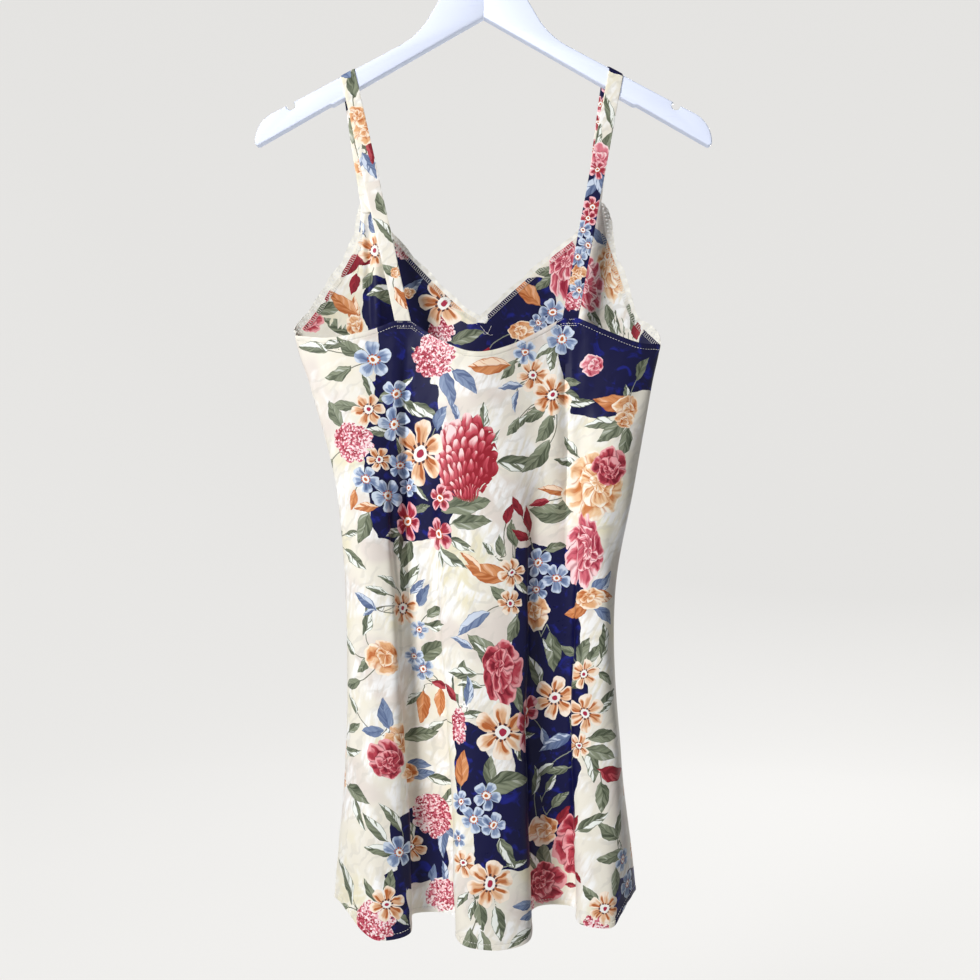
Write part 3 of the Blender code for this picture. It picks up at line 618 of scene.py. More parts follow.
def print_of_front():
    """The charted inside, and repeats of the back's print on the rest of the front."""
    def on_front(row, margin=0.0):
        return CHARTED_FRONT + margin < row[2] < FRONT_END and abs(row[1]) < FRONT_REACH

    motifs, navy = laid_out(FRONT, INSIDE_PRINT), laid_boxes(FRONT, INSIDE_NAVY)
    charted = laid_out(BACK, BACK_PRINT)
    rows, boxes = repeated(charted, laid_boxes(BACK, BACK_NAVY), True, FRONT_MOVE)
    motifs += [row for row in rows if on_front(row, row[3] * 0.4)]
    navy += [(a, b, max(top, CHARTED_FRONT), bottom) for a, b, top, bottom in boxes
             if bottom > CHARTED_FRONT + 10 and top < FRONT_END]
    for move in FRONT_FILLS:
        rows, _ = repeated(charted, (), False, move)
        motifs = fill_gaps(motifs, [row for row in rows if on_front(row)])
    return motifs, navy


def motif_table(motifs):
    """The motifs in painting order, each with its numbers for the material."""
    flowers = np.array([(along, drop) for kind, along, drop, _, _ in motifs
                        if MOTIFS[kind]["rings"] > 0])
    table = []
    for kind, along, drop, size, stretch in motifs:
        look = MOTIFS[kind]
        turn = 2 * math.pi * shuffle(along, drop)
        if look["rings"] == 0 and len(flowers):
            away = np.array((along, drop)) - flowers
            nearest = away[np.argmin(np.hypot(away[:, 0], away[:, 1]))]
            turn = math.atan2(nearest[1], nearest[0]) + LEAF_STRAY * (shuffle(drop, along) - 0.5)
            size *= LEAF_GAIN
        if look["rings"] > 3:
            turn = math.pi / 2
        order = look["order"] + 0.5 * shuffle(along + drop, size)
        table.append((order, along, drop, size, stretch, turn, look))
    return sorted(table, key=lambda row: row[0])


def stalks_of(table):
    """The thin stalk of each leaf, from its foot to the heart of the flower nearest to it."""
    flowers = np.array([row[1:3] for row in table if row[6]["rings"] > 0])
    found = []
    for _, along, drop, size, _, turn, look in table:
        if look["rings"] or not len(flowers):
            continue
        way = np.array((math.cos(turn), math.sin(turn)))
        foot = np.array((along, drop)) - way * size * 0.8
        gaps = np.hypot(*(flowers - foot).T)
        if gaps.min() > STALK_REACH:
            continue
        heart, bend = flowers[gaps.argmin()], foot - way * gaps.min() * 0.45
        t = np.linspace(0, 1, STALK_STEPS + 1)[:, None]
        found.append(foot * (1 - t) ** 2 + bend * 2 * t * (1 - t) + heart * t * t)
    return found


def stalk_distance(along, drop, stalks):
    """Distance to the nearest stalk, with its side as a sign, and again without the sign."""
    best = np.full((2, len(along)), FAR)
    for points in stalks:
        low, high = points.min(axis=0) - STALK_ZONE, points.max(axis=0) + STALK_ZONE
        near = np.flatnonzero((along > low[0]) & (along < high[0]) & (drop > low[1])
                              & (drop < high[1]))
        here = np.stack((along[near], drop[near]), axis=-1)
        for start, end in zip(points, points[1:]):
            step, from_start = end - start, here - start
            share = np.clip(from_start @ step / (step @ step), 0.0, 1.0)
            gap = np.hypot(*(from_start - share[:, None] * step).T)
            side = np.sign(step[0] * from_start[:, 1] - step[1] * from_start[:, 0])
            closer = gap < best[1, near]
            best[:, near[closer]] = (gap * side)[closer], gap[closer]
    return best


def navy_distance(along, drop, boxes):
    """Signed distance to the navy grounds, in millimetres, negative inside them."""
    best = np.full(along.shape, FAR)
    for low, high, top, bottom in boxes:
        dx = abs(along - (low + high) / 2) - (high - low) / 2
        dz = abs(drop - (top + bottom) / 2) - (bottom - top) / 2
        outside = np.hypot(np.maximum(dx, 0), np.maximum(dz, 0))
        best = np.minimum(best, outside + np.minimum(np.maximum(dx, dz), 0))
    return best


def set_attribute(mesh, name, kind, domain, values):
    """Writes an array as an attribute of a mesh's points or faces."""
    attribute = mesh.attributes.new(name, kind, domain)
    key = "color" if kind == "FLOAT_COLOR" else "vector"
    attribute.data.foreach_set(key, np.ascontiguousarray(values, np.float32).ravel())


def print_on(mesh, along, drop, motifs, navy):
    """Gives a mesh its print: where each point lies on the bolt, and each face's motifs."""
    cloth = np.stack((along, drop, navy_distance(along, drop, navy)), axis=-1)
    set_attribute(mesh, "cloth", "FLOAT_VECTOR", "POINT", cloth)
    corners = np.zeros(len(mesh.polygons) * 4, np.int32)
    mesh.polygons.foreach_get("vertices", corners)
    corners = corners.reshape(-1, 4)
    face_along, face_drop = along[corners].mean(axis=1), drop[corners].mean(axis=1)
    reach = np.hypot(np.ptp(along[corners], axis=1), np.ptp(drop[corners], axis=1)) / 2
    table = motif_table(motifs)
    signed, plain = stalk_distance(along, drop, stalks_of(table))
    set_attribute(mesh, "stalk", "FLOAT_VECTOR", "POINT",
                  np.stack((signed, plain, 0 * plain), axis=-1))
    layers = np.full((len(corners), LAYERS), -1)
    for k, (_, x, z, size, stretch, _, _) in enumerate(table):
        gap = np.hypot(face_along - x, (face_drop - z) / stretch)
        here = gap < size * MOTIF_MARGIN[0] + reach + MOTIF_MARGIN[1]
        layers[here] = np.concatenate((layers[here][:, 1:], np.full((here.sum(), 1), k)), axis=1)
    none = (1e5, 1e5, 1.0, 100.0, 0.0, 1.0, 1.0, 0.0, 0.0) + (0.0, 0.0, 0.0, 1.0) * 3
    rows = [none]
    for _, x, z, size, stretch, turn, look in table:
        rows.append((x, z, look["petals"], math.cos(turn) / size, math.sin(turn) / size,
                     look["rings"], stretch, look["heart"], look["florets"],
                     *look["deep"], *look["tint"], *look["pale"]))
    rows = np.array(rows, np.float32)
    for layer in range(LAYERS):
        values = rows[layers[:, layer] + 1]
        for name, first in (("place", 0), ("axis", 3), ("look", 6)):
            set_attribute(mesh, f"{name}_{layer}", "FLOAT_VECTOR", "FACE",
                          values[:, first:first + 3])
        for name, first in (("deep", 9), ("tint", 13), ("pale", 17)):
            set_attribute(mesh, f"{name}_{layer}", "FLOAT_COLOR", "FACE",
                          values[:, first:first + 4])


# ---------------------------------------------------------------------------------------
# Materials
# ---------------------------------------------------------------------------------------
def node_method(operation):
    """A method that puts one Math node behind a wire."""
    return lambda wire, *others: wire.calc(operation, *others)


class Wire:
    """A number that a material's nodes carry, so that a pattern reads as sums."""

    def __init__(self, board, socket):
        self.board, self.socket = board, socket

    def calc(self, operation, *others):
        """One Math node, fed by this wire and then the others."""
        made = self.board.tree.nodes.new("ShaderNodeMath")
        made.operation = operation
        for socket, value in zip(made.inputs, (self, *others)):
            self.board.set(socket, value)
        return Wire(self.board, made.outputs[0])

    __add__ = __radd__ = node_method("ADD")
    __mul__ = __rmul__ = node_method("MULTIPLY")
    __sub__, __truediv__ = node_method("SUBTRACT"), node_method("DIVIDE")
    __lt__, __gt__ = node_method("LESS_THAN"), node_method("GREATER_THAN")
    __pow__, __abs__ = node_method("POWER"), node_method("ABSOLUTE")
    fract = node_method("FRACT")

    def __rsub__(self, other):
        return self.calc("MULTIPLY_ADD", -1.0, other)

    def __rtruediv__(self, other):
        return self ** -1.0 * other

    def step(self, low, high):
        """0 below low, 1 above high and smooth between; falls where low is the higher."""
        made = self.board.tree.nodes.new("ShaderNodeMapRange")
        made.interpolation_type = "SMOOTHSTEP"
        for socket, value in zip(made.inputs, (self, low, high, 0.0, 1.0)):
            self.board.set(socket, value)
        return Wire(self.board, made.outputs[0])

    def toward(self, other, share):
        """This number, moved towards another by a share."""
        return self.board.mix_number(self, other, share)


class Board:
    """One material, and the nodes that make its pattern."""

    def __init__(self, name):
        self.material = bpy.data.materials.new(name)
        self.material.use_nodes = True
        self.tree = self.material.node_tree
        self.shader = self.tree.nodes["Principled BSDF"]

    def set(self, socket, value):
        """Feeds a socket from a wire, or sets it."""
        if isinstance(value, Wire):
            self.tree.links.new(value.socket, socket)
        else:
            socket.default_value = value

    def node(self, kind, inputs, output=0, **settings):
        """The wire out of a new node, with its inputs fed and its settings made."""
        made = self.tree.nodes.new(kind)
        for key, value in settings.items():
            setattr(made, key, value)
        for key, value in inputs.items():
            self.set(made.inputs[key], value)
        return Wire(self, made.outputs[output])

    def attribute(self, name, output="Vector"):
        return self.node("ShaderNodeAttribute", {}, output, attribute_name=name)

    def split(self, vector):
        made = self.tree.nodes.new("ShaderNodeSeparateXYZ")
        self.set(made.inputs[0], vector)
        return [Wire(self, socket) for socket in made.outputs]

    def join(self, x, y, z=0.0):
        return self.node("ShaderNodeCombineXYZ", {0: x, 1: y, 2: z})

    def place(self):
        """Object coordinates, in millimetres."""
        coordinates = self.node("ShaderNodeTexCoord", {}, "Object")
        return self.node("ShaderNodeVectorMath", {0: coordinates, "Scale": 1 / MM},
                         operation="SCALE")

    def noise(self, vector, scale, detail=2.0, distortion=0.0, output=0):
        return self.node("ShaderNodeTexNoise",
                         {"Vector": vector, "Scale": scale, "Detail": detail,
                          "Distortion": distortion}, output)

    def mix_number(self, a, b, share):
        return self.node("ShaderNodeMix", {0: share, 2: a, 3: b}, 0, data_type="FLOAT")

    def mix(self, a, b, share):
        return self.node("ShaderNodeMix", {0: share, 6: a, 7: b}, 2, data_type="RGBA")

    def bump(self, height, distance, strength=1.0):
        """Raises the surface by a pattern, the distance in millimetres."""
        normal = self.node("ShaderNodeBump",
                           {"Height": height, "Distance": distance * MM,
                            "Strength": strength})
        self.set(self.shader.inputs["Normal"], normal)

    def finish(self, **inputs):
        """Feeds the shader's own sockets, named with _ for a space."""
        for name, value in inputs.items():
            self.set(self.shader.inputs[name.replace("_", " ")], value)
        return self.material


def draw_motif(board, along, drop, florets, layer, under):
    """Paints one layer of flowers and leaves over a colour; each face says which is there."""
    x0, z0, petals = board.split(board.attribute(f"place_{layer}"))
    lean, rise, rings = board.split(board.attribute(f"axis_{layer}"))
    stretch, heart, broken = board.split(board.attribute(f"look_{layer}"))
    deep, tint, pale = (board.attribute(f"{name}_{layer}", "Color")
                        for name in ("deep", "tint", "pale"))
    dx, dz = along - x0, (drop - z0) / stretch
    x, y = dx * lean + dz * rise, dz * lean - dx * rise
    number = x0 * 0.37 + z0 * 0.11
    own = (number * 5.3).fract()
    leaf, full, fan = rings < 0.5, rings > 1.5, rings > 4.0

    # The hand that drew it: every outline is a little off, most of all in a full bloom.
    wobble = board.split(board.noise(board.join(x, y, number), 1.7, 1.5, output=1))
    loose = 0.30 + full * 0.26 - fan * 0.06
    x, y = x + (wobble[0] - 0.5) * loose, y + (wobble[1] - 0.5) * loose
    radius = (x * x + y * y) ** 0.5

    # A flower: petals in rings, each ring half a petal round from the one inside it. A full
    # bloom's rings crowd to one side, as it is seen a little from that side. A dahlia's many
    # small petals fan up from its foot.
    side = (x - (1.0 - radius) * full * rings * 0.14).toward(x - 1.35, fan)
    ring = (side * side + y * y) ** 0.5 * (rings - fan)
    turn = y.calc("ARCTAN2", side) * (0.5 / math.pi)
    sector = turn * petals + ring.calc("FLOOR") * 0.5 + ring * (full - fan) * 0.12
    across = sector.fract()
    edge = abs(across - 0.5) * 2.0
    notch = 0.3 + 0.3 / rings.calc("MAXIMUM", 1.0) + fan * 0.5
    reach = ring + notch * edge ** (4.0 - fan * 1.8)
    in_flower = (reach < rings + fan * 20.0) * (radius + edge * edge * fan * 0.15
                                                < 1.15 - fan * 0.04)
    up_petal = reach.fract()
    petal_own = (sector.calc("FLOOR") * 0.618 + reach.calc("FLOOR") * 0.377).fract()

    # A leaf: pointed at both ends and a little bent, with its midrib along x. Some are broad.
    y_leaf = y + (x * x - 0.35) * (own - 0.5) * 0.45
    half = (1.0 - x * x) * (0.44 - own * 0.14 - x * 0.10)
    off_rib = abs(y_leaf) / half.calc("MAXIMUM", 0.01)
    in_leaf = (off_rib < 1.0) * (abs(x) < 1.0) * leaf

    # Brush strokes run out along the petals, and slanting off the midrib of a leaf.
    grain = board.join((sector * 3.4).toward(abs(y_leaf) * 7.0 - x * 4.0, leaf),
                       (ring * 0.8).toward(y * 1.5, leaf), number)
    stroke = (board.noise(grain, 1.0, 3.0) - 0.5) * 2.0
    rim = edge.step(0.50, 0.80).calc("MAXIMUM", up_petal.step(0.66, 0.90))
    bold = abs(across - 0.24 - own * 0.1).step(0.13, 0.04) * up_petal.step(0.92, 0.6)
    one_ring = (heart > 0.5) * (heart < 1.5)
    petal_tone = (0.20 + up_petal * 0.30 + rim * 0.38 + stroke * 0.95 - bold * one_ring * 0.95
                  - x * full * 0.16)
    fan_tone = (up_petal * 0.62 + petal_own * 0.50 - edge * edge * 0.75 + y * 0.45 - x * 0.25
                + stroke * 0.4)
    petal_tone = petal_tone.toward(fan_tone, fan)
    white_half = (own > 0.45) * (y_leaf > 0.0) * stroke.step(-0.20, 0.0)
    leaf_tone = (0.44 + stroke * 0.62 - (y_leaf < 0.0) * 0.20
                 + white_half * off_rib.step(0.98, 0.80) * 0.9)
    tone = petal_tone.toward(leaf_tone, leaf).toward(florets - x * 0.28, broken)
    line = edge.step(0.86, 1.0).calc("MAXIMUM", ring.fract().toward(up_petal, fan)
                                     .step(0.10 + fan * 0.14, 0.0) * full)
    vein = off_rib.step(0.13, 0.03).calc("MAXIMUM", off_rib.step(0.84, 1.0) * 0.6)
    dark = line.toward(vein, leaf) * (0.62 - broken * 0.57)
    colour = board.mix(deep, tint, tone.step(0.0, 0.5))
    colour = board.mix(colour, pale, tone.step(0.46, 0.92))
    colour = board.mix(colour, deep, dark)

    # The heart: a white disc with a coloured middle and a ring of dots round it.
    has_heart = heart > 0.5
    dots = (abs(radius - 0.30) < 0.05) * (abs((turn * 11.0).fract() - 0.5) < 0.27)
    middle = board.mix(shade(166, 44, 70), shade(192, 98, 46), heart - 1.0)
    dot_colour = board.mix(shade(84, 50, 52), shade(186, 92, 44), heart - 1.0)
    colour = board.mix(colour, shade(246, 244, 240), (radius < 0.26) * has_heart)
    colour = board.mix(colour, middle, (radius < 0.12) * has_heart)
    colour = board.mix(colour, dot_colour, dots * has_heart)
    return board.mix(under, colour, in_flower.calc("MAXIMUM", in_leaf))


def printed_satin(colours):
    """Satin with flowers on cream and navy, over a woven figure that its sheen shows; painted
    shade greys the figure a little.
    """
    board = Board("printed_satin")
    along, drop, off_navy = board.split(board.attribute("cloth"))
    flat = board.join(along, drop)
    wobble = board.split(board.noise(flat, 0.085, 2.0, output=1))
    along_w, drop_w = along + (wobble[0] - 0.5) * 2.5, drop + (wobble[1] - 0.5) * 2.5

    # The woven figure: brushed leaf strokes in bands, where the weave turns over.
    stroke = board.node("ShaderNodeTexWave",
                        {"Vector": flat, "Scale": 0.034, "Distortion": 13.0, "Detail": 3.0,
                         "Detail Scale": 0.9}, 1, bands_direction="DIAGONAL")
    patch = board.noise(flat, 0.036, 2.0, 0.6)
    figure = stroke.step(0.66, 0.94) * patch.step(0.38, 0.56)
    veil = board.noise(flat, 0.020, 3.0, 1.2)
    tuft = board.noise(board.join(along * 0.9 + drop * 0.35, drop * 0.22), 0.20, 3.0)
    white = veil.step(0.44, 0.60) * tuft.step(0.36, 0.58)
    blush = board.noise(flat, 0.013, 2.0)

    cream = board.mix((*colours.ground, 1.0), shade(225, 216, 208), blush.step(0.50, 0.62))
    cream = board.mix(cream, shade(231, 224, 196), blush.step(0.46, 0.34))
    cream = board.mix(cream, shade(249, 249, 249), white * 0.92)
    # Painted shade: the woven figure, of the ground's own yarn, is greyed where its weave catches
    # less light.
    cream = board.mix(cream, shade(200, 196, 187), figure * 0.32)
    blot = board.noise(flat, 0.075, 3.0, 0.8)
    navy = board.mix((*colours.navy, 1.0), shade(26, 33, 124), blot.step(0.54, 0.72))
    broad = board.noise(flat, 0.030, 1.0)
    night = (off_navy + (broad - 0.5) * 20.0 + (wobble[2] - 0.5) * 4.0) < 0.0
    colour = board.mix(cream, navy, night)
    side, near, _ = board.split(board.attribute("stalk"))
    stalk = (abs(side + (wobble[0] - 0.5) * 1.6) < 0.46) * (near < 2.8)
    colour = board.mix(colour, board.mix(shade(104, 106, 88), shade(140, 146, 128), night),
                       stalk)

    cells = board.node("ShaderNodeTexVoronoi", {"Vector": flat, "Scale": 0.62}, 1)
    florets = board.split(cells)[0] * 1.25 - 0.1
    for layer in range(LAYERS):
        colour = draw_motif(board, along_w, drop_w, florets, layer, colour)

    weave = board.noise(board.join(along * 0.7, drop * 4.0), 0.9, 2.0)
    crush = board.noise(board.join(along, drop * 0.35), 0.055, 4.0, 0.7)
    board.bump(weave * 0.05 + crush * 0.8 + figure * 0.03, 1.0, 0.55)
    roughness = 0.42 - figure * 0.10 - white * 0.08 + weave * 0.06
    return board.finish(Base_Color=colour, Roughness=roughness, Sheen_Weight=0.02,
                        Sheen_Roughness=0.45, Specular_IOR_Level=0.15)


def woven_trim(name, colour, roughness, fibre):
    """Lace or thread: fine twisted fibres, a little darker in their hollows by painted shade."""
    board = Board(name)
    place = board.place()
    fluff = board.noise(place, fibre, 3.0, 0.4)
    soil = board.noise(place, 0.03, 2.0)
    # Painted shade: darker where the bump sinks into hollows; soil greys the fibres here and
    # there.
    soil_and_hollow_shade = board.mix((*colour, 1.0), tuple(c * 0.80 for c in colour) + (1.0,),
                     fluff.step(0.62, 0.30))
    soil_and_hollow_shade = board.mix(soil_and_hollow_shade, tuple(c * 0.93 for c in colour) + (1.0,), soil.step(0.45, 0.7))
    board.bump(fluff, 0.35, 0.7)
    return board.finish(Base_Color=soil_and_hollow_shade, Roughness=roughness, Sheen_Weight=0.25,
                        Sheen_Roughness=0.5)


def painted_wood(colours):
    """Thick satin paint over wood: faint grain under it, painted shade round the notches, and
    a faint painted glow that brightens its shaded undersides.
    """
    board = Board("hanger_paint")
    place = board.place()
    x, y, z = board.split(place)
    grain = board.noise(board.join(abs(x) * 0.05 - z * 0.03, y * 0.4, z * 0.5), 1.0, 3.0, 0.4)
    orange_peel = board.noise(place, 0.55, 2.0)
    tone = board.noise(place, 0.018, 2.0)
    paint = (*colours.paint, 1.0)
    colour = board.mix(paint, shade(214, 220, 241), tone.step(0.45, 0.75) * 0.5)
    colour = board.mix(colour, shade(208, 214, 234), grain.step(0.58, 0.75) * 0.35)
    notch_x = (abs(x) - NOTCH_AT) / NOTCH_RADIUS
    notch_z = (z + arm_top(NOTCH_AT) + NOTCH_SINK) / NOTCH_RADIUS
    in_notch = (notch_x * notch_x + notch_z * notch_z) ** 0.5
    # Painted shade: the paint greys in and round each notch, as if the cut lay in shade.
    colour = board.mix(colour, shade(176, 182, 176), in_notch.step(1.25, 1.0) * 0.85)
    board.bump(orange_peel * 0.25 + grain * 0.5, 0.25, 0.35)
    roughness = 0.38 + tone * 0.10 + orange_peel * 0.05
    # Painted light: the paint glows a faint blue, so the arms' shaded undersides read lit.
    return board.finish(Base_Color=colour, Roughness=roughness, Specular_IOR_Level=0.3,
                        Coat_Weight=0.06, Coat_Roughness=0.30,
                        Emission_Color=shade(200, 220, 250), Emission_Strength=0.17)


def plated_wire():
    """Bright plated steel, hazed here and there."""
    board = Board("hook_plating")
    place = board.place()
    haze = board.noise(place, 0.12, 3.0)
    drawn = board.noise(place, 1.4, 2.0)
    colour = board.mix(shade(198, 200, 204), shade(168, 170, 176), haze.step(0.4, 0.75))
    board.bump(drawn, 0.06, 0.4)
    return board.finish(Base_Color=colour, Roughness=0.16 + haze * 0.16, Metallic=1.0)


# ---------------------------------------------------------------------------------------
# Making and finishing pieces
# ---------------------------------------------------------------------------------------
def only(*chosen):
    """Selects just these objects, the first of them active."""
    if bpy.context.object and bpy.context.object.mode != "OBJECT":
        bpy.ops.object.mode_set(mode="OBJECT")
    bpy.ops.object.select_all(action="DESELECT")
    for item in chosen:
        item.select_set(True)
    if chosen:
        bpy.context.view_layer.objects.active = chosen[0]


def new_piece(name, points, faces, material):
    """A mesh object from points in millimetres."""
    mesh = bpy.data.meshes.new(name)
    mesh.from_pydata((np.asarray(points, float) * MM).tolist(), [], faces)
    mesh.materials.append(material)
    mesh.update()
    made = bpy.data.objects.new(name, mesh)
    bpy.context.scene.collection.objects.link(made)
    return made


def add_modifier(piece, kind, **settings):
    """Adds a modifier and applies it."""
    only(piece)
    made = piece.modifiers.new(kind.lower(), kind)
    for key, value in settings.items():
        setattr(made, key, value)
    bpy.ops.object.modifier_apply(modifier=made.name)


def face_out(piece, inside=False):
    """Turns all of a mesh's faces outwards, or all inwards."""
    only(piece)
    bpy.ops.object.mode_set(mode="EDIT")
    bpy.ops.mesh.select_all(action="SELECT")
    bpy.ops.mesh.normals_make_consistent(inside=inside)
    bpy.ops.object.mode_set(mode="OBJECT")


def smooth_piece(piece, degrees):
    """Shades a piece smooth, but for the edges that turn by more than this."""
    only(piece)
    bpy.ops.object.shade_smooth_by_angle(angle=math.radians(degrees))


def grid_faces(rows, columns, outward=1, closed=False, missing=()):
    """Faces of a grid of points; closed joins the last column to the first."""
    faces = []
    for i in range(rows - 1):
        for j in range(columns if closed else columns - 1):
            if (i, j) in missing:
                continue
            n = (j + 1) % columns
            face = (i * columns + j, i * columns + n, (i + 1) * columns + n,
                    (i + 1) * columns + j)
            faces.append(face if outward > 0 else face[::-1])
    return faces


def ride(piece):
    """Puts a piece on the dress's one body."""
    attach(piece, BODY)


def unit(vectors):
    """The same directions, one long."""
    return vectors / np.maximum(np.linalg.norm(vectors, axis=-1, keepdims=True), 1e-9)


def evenly(line, pitch, start=0.0, end=0.0):
    """Where on a polyline points at an even pitch fall, as fractional indices."""
    run = np.concatenate(([0.0], np.cumsum(np.linalg.norm(np.diff(line, axis=0), axis=1))))
    count = max(int((run[-1] - start - end) / pitch), 2)
    at = np.linspace(start, run[-1] - end, count)
    return np.interp(at, run, np.arange(len(line)))


def at_index(values, index):
    """Rows of an array at fractional indices."""
    low = np.clip(index.astype(int), 0, len(values) - 2)
    share = index - low
    share = share.reshape(share.shape + (1,) * (values.ndim - 1))
    return values[low] * (1 - share) + values[low + 1] * share


THREAD_SIDES = 6


class Thread:
    """Gathers short lengths of thread into one mesh."""

    def __init__(self):
        self.points, self.faces = [], []

    def add(self, start, end, up, radius, sag=0.0):
        """One stitch from start to end, round, pointed at both ends and lifted midway."""
        start, end, up = (np.asarray(p, float) for p in (start, end, up))
        along = unit(end - start)
        side = unit(np.cross(along, up))
        up = np.cross(side, along)
        base, sides = len(self.points), THREAD_SIDES
        self.points.append(start)
        for share in (0.18, 0.5, 0.82):
            middle = start + (end - start) * share + up * sag * math.sin(math.pi * share)
            for k in range(sides):
                angle = 2 * math.pi * k / sides
                self.points.append(middle + (side * math.cos(angle)
                                             + up * math.sin(angle)) * radius)
        self.points.append(end)
        last = base + 3 * sides + 1
        for k in range(sides):
            n = (k + 1) % sides
            self.faces.append((base, base + 1 + n, base + 1 + k))
            for ring in (0, 1):
                a, b = base + 1 + ring * sides, base + 1 + (ring + 1) * sides
                self.faces.append((a + k, a + n, b + n, b + k))
            a = base + 1 + 2 * sides
            self.faces.append((a + k, a + n, last))

    def piece(self, name, material):
        """All the thread so far, as one piece."""
        made = new_piece(name, self.points, self.faces, material)
        face_out(made)
        bpy.ops.object.shade_smooth()
        return made


def material_of(name, make):
    """The material of that name, made the first time that a piece asks for it."""
    return bpy.data.materials.get(name) or make()


def pucker(place, gap, waves, stray, stray_waves, fade, share):
    """Uneven small waves along an edge, which fade with the distance from it."""
    wave = np.sin(place * waves + stray * np.sin(place * stray_waves))
    return share * wave * np.exp(-gap / fade)


def build_panel(name, panel, columns, banded_top, motifs, navy, sizes, material):
    """One panel as a thin shell on its folds, with its print and its folded edges."""
    places = places_across(columns)
    drops = panel_drops(panel, places)
    place = np.broadcast_to(places, drops.shape)
    band = np.zeros(len(drops))
    band[-len(BAND_LIFT):] = BAND_LIFT[::-1]
    if banded_top:
        band[:len(BAND_LIFT)] = BAND_LIFT
    ripple = pucker(place, panel.hem(places) - drops, *HEM_PUCKER)
    ripple += pucker(place, drops - panel.top(places), *TOP_PUCKER)
    ripple *= ease(np.minimum(place, panel.last - place), 0.05, 0.4)
    points = panel.surface(place, drops, band[:, None] + PUCKER_LIFT * ripple)
    rows, across = drops.shape
    made = new_piece(name, points.reshape(-1, 3), grid_faces(rows, across, panel.outward),
                     material)
    print_on(made.data, along_cloth(panel, place, drops).ravel(), drops.ravel(), motifs, navy)
    add_modifier(made, "SOLIDIFY", thickness=sizes.cloth_wall, offset=0.0,
                 use_quality_normals=True)
    smooth_piece(made, 50.0)
    return made


# ---------------------------------------------------------------------------------------
# Lace, overlocked edges and stitching
# ---------------------------------------------------------------------------------------
# Each lace edging: its name, the places it runs between, its full width, which end is at the
# strap, and the pitch of its scallops, where they are even.
LACE = (
    ("armhole_lace_left", 0.0, 1.0, 6.8, "end", 31.0),
    ("neck_lace_left", 2.0, 4.0, 4.3, "start", 34.0),
    ("neck_lace_right", 4.0, 6.0, 4.3, "end", 34.0),
    ("armhole_lace_right", 7.0, 8.0, 8.0, "start", None),
)
# Where uneven scallops come: distance from the strap, share of the edging's width.
LACE_WAVES = {
    "armhole_lace_right": ((0, 0.25), (8, 0.7), (20, 1.0), (32, 0.92), (44, 0.68), (54, 0.40),
        (58, 0.30), (62, 0.62), (70, 0.80), (83, 0.66), (96, 0.55), (110, 0.44), (122, 0.36),
        (127, 0.64), (135, 0.95), (145, 0.95), (152, 0.64), (158, 0.2)),
}
# The rows of points across a lace, their pitch along it, its wall, and its overlap on the
# cloth.
LACE_ROWS = 11
LACE_PITCH = 0.62
LACE_WALL = 0.5
LACE_OVERLAP = 1.6
# A lace's width where even scallops start, how much of its full width it gains with each
# millimetre, the pitch and the reach of its picots, and how far from the V its mitre starts.
LACE_START = 2.4
LACE_GROWTH = 0.02
PICOT_PITCH = 4.6
PICOT_REACH = 0.45
LACE_MITRE = 3.0
# The lace's holes: the row, and the columns that have one, as (their period, which of it).
LACE_HOLES = ((2, 4, (1,)), (4, 6, (2, 3)), (5, 6, (2, 3)), (7, 4, (3,)), (8, 8, (4, 5)))


# The front's place at the point of its V.
V_PLACE = 4.0


def v_point(below=0.0, out=0.0):
    """The point of the V, or the cloth below it, and out of the dress."""
    return FRONT.surface(V_PLACE, FRONT.top(np.array([V_PLACE]))[0] + below, out)


class Edge:
    """The front panel's top edge between two places, with directions off it."""

    def __init__(self, first, last):
        self.place = np.linspace(first, last, 420)
        self.drop = FRONT.top(self.place)
        self.line = FRONT.surface(self.place, self.drop)
        along = unit(np.gradient(self.line, axis=0))
        nx, ny = FRONT.facing(self.place, self.drop)
        self.facing = np.stack((nx, ny, np.zeros(len(nx))), axis=-1)
        self.outward = unit(np.cross(along, self.facing))
        steps = np.linalg.norm(np.diff(self.line, axis=0), axis=1)
        self.run = np.concatenate(([0.0], np.cumsum(steps)))

    def at(self, index, beyond, out=0.0):
        """Points beyond the edge, in the cloth's own plane, and out of the dress."""
        return (at_index(self.line, index) + at_index(self.outward, index) * beyond
                + at_index(self.facing, index) * out)


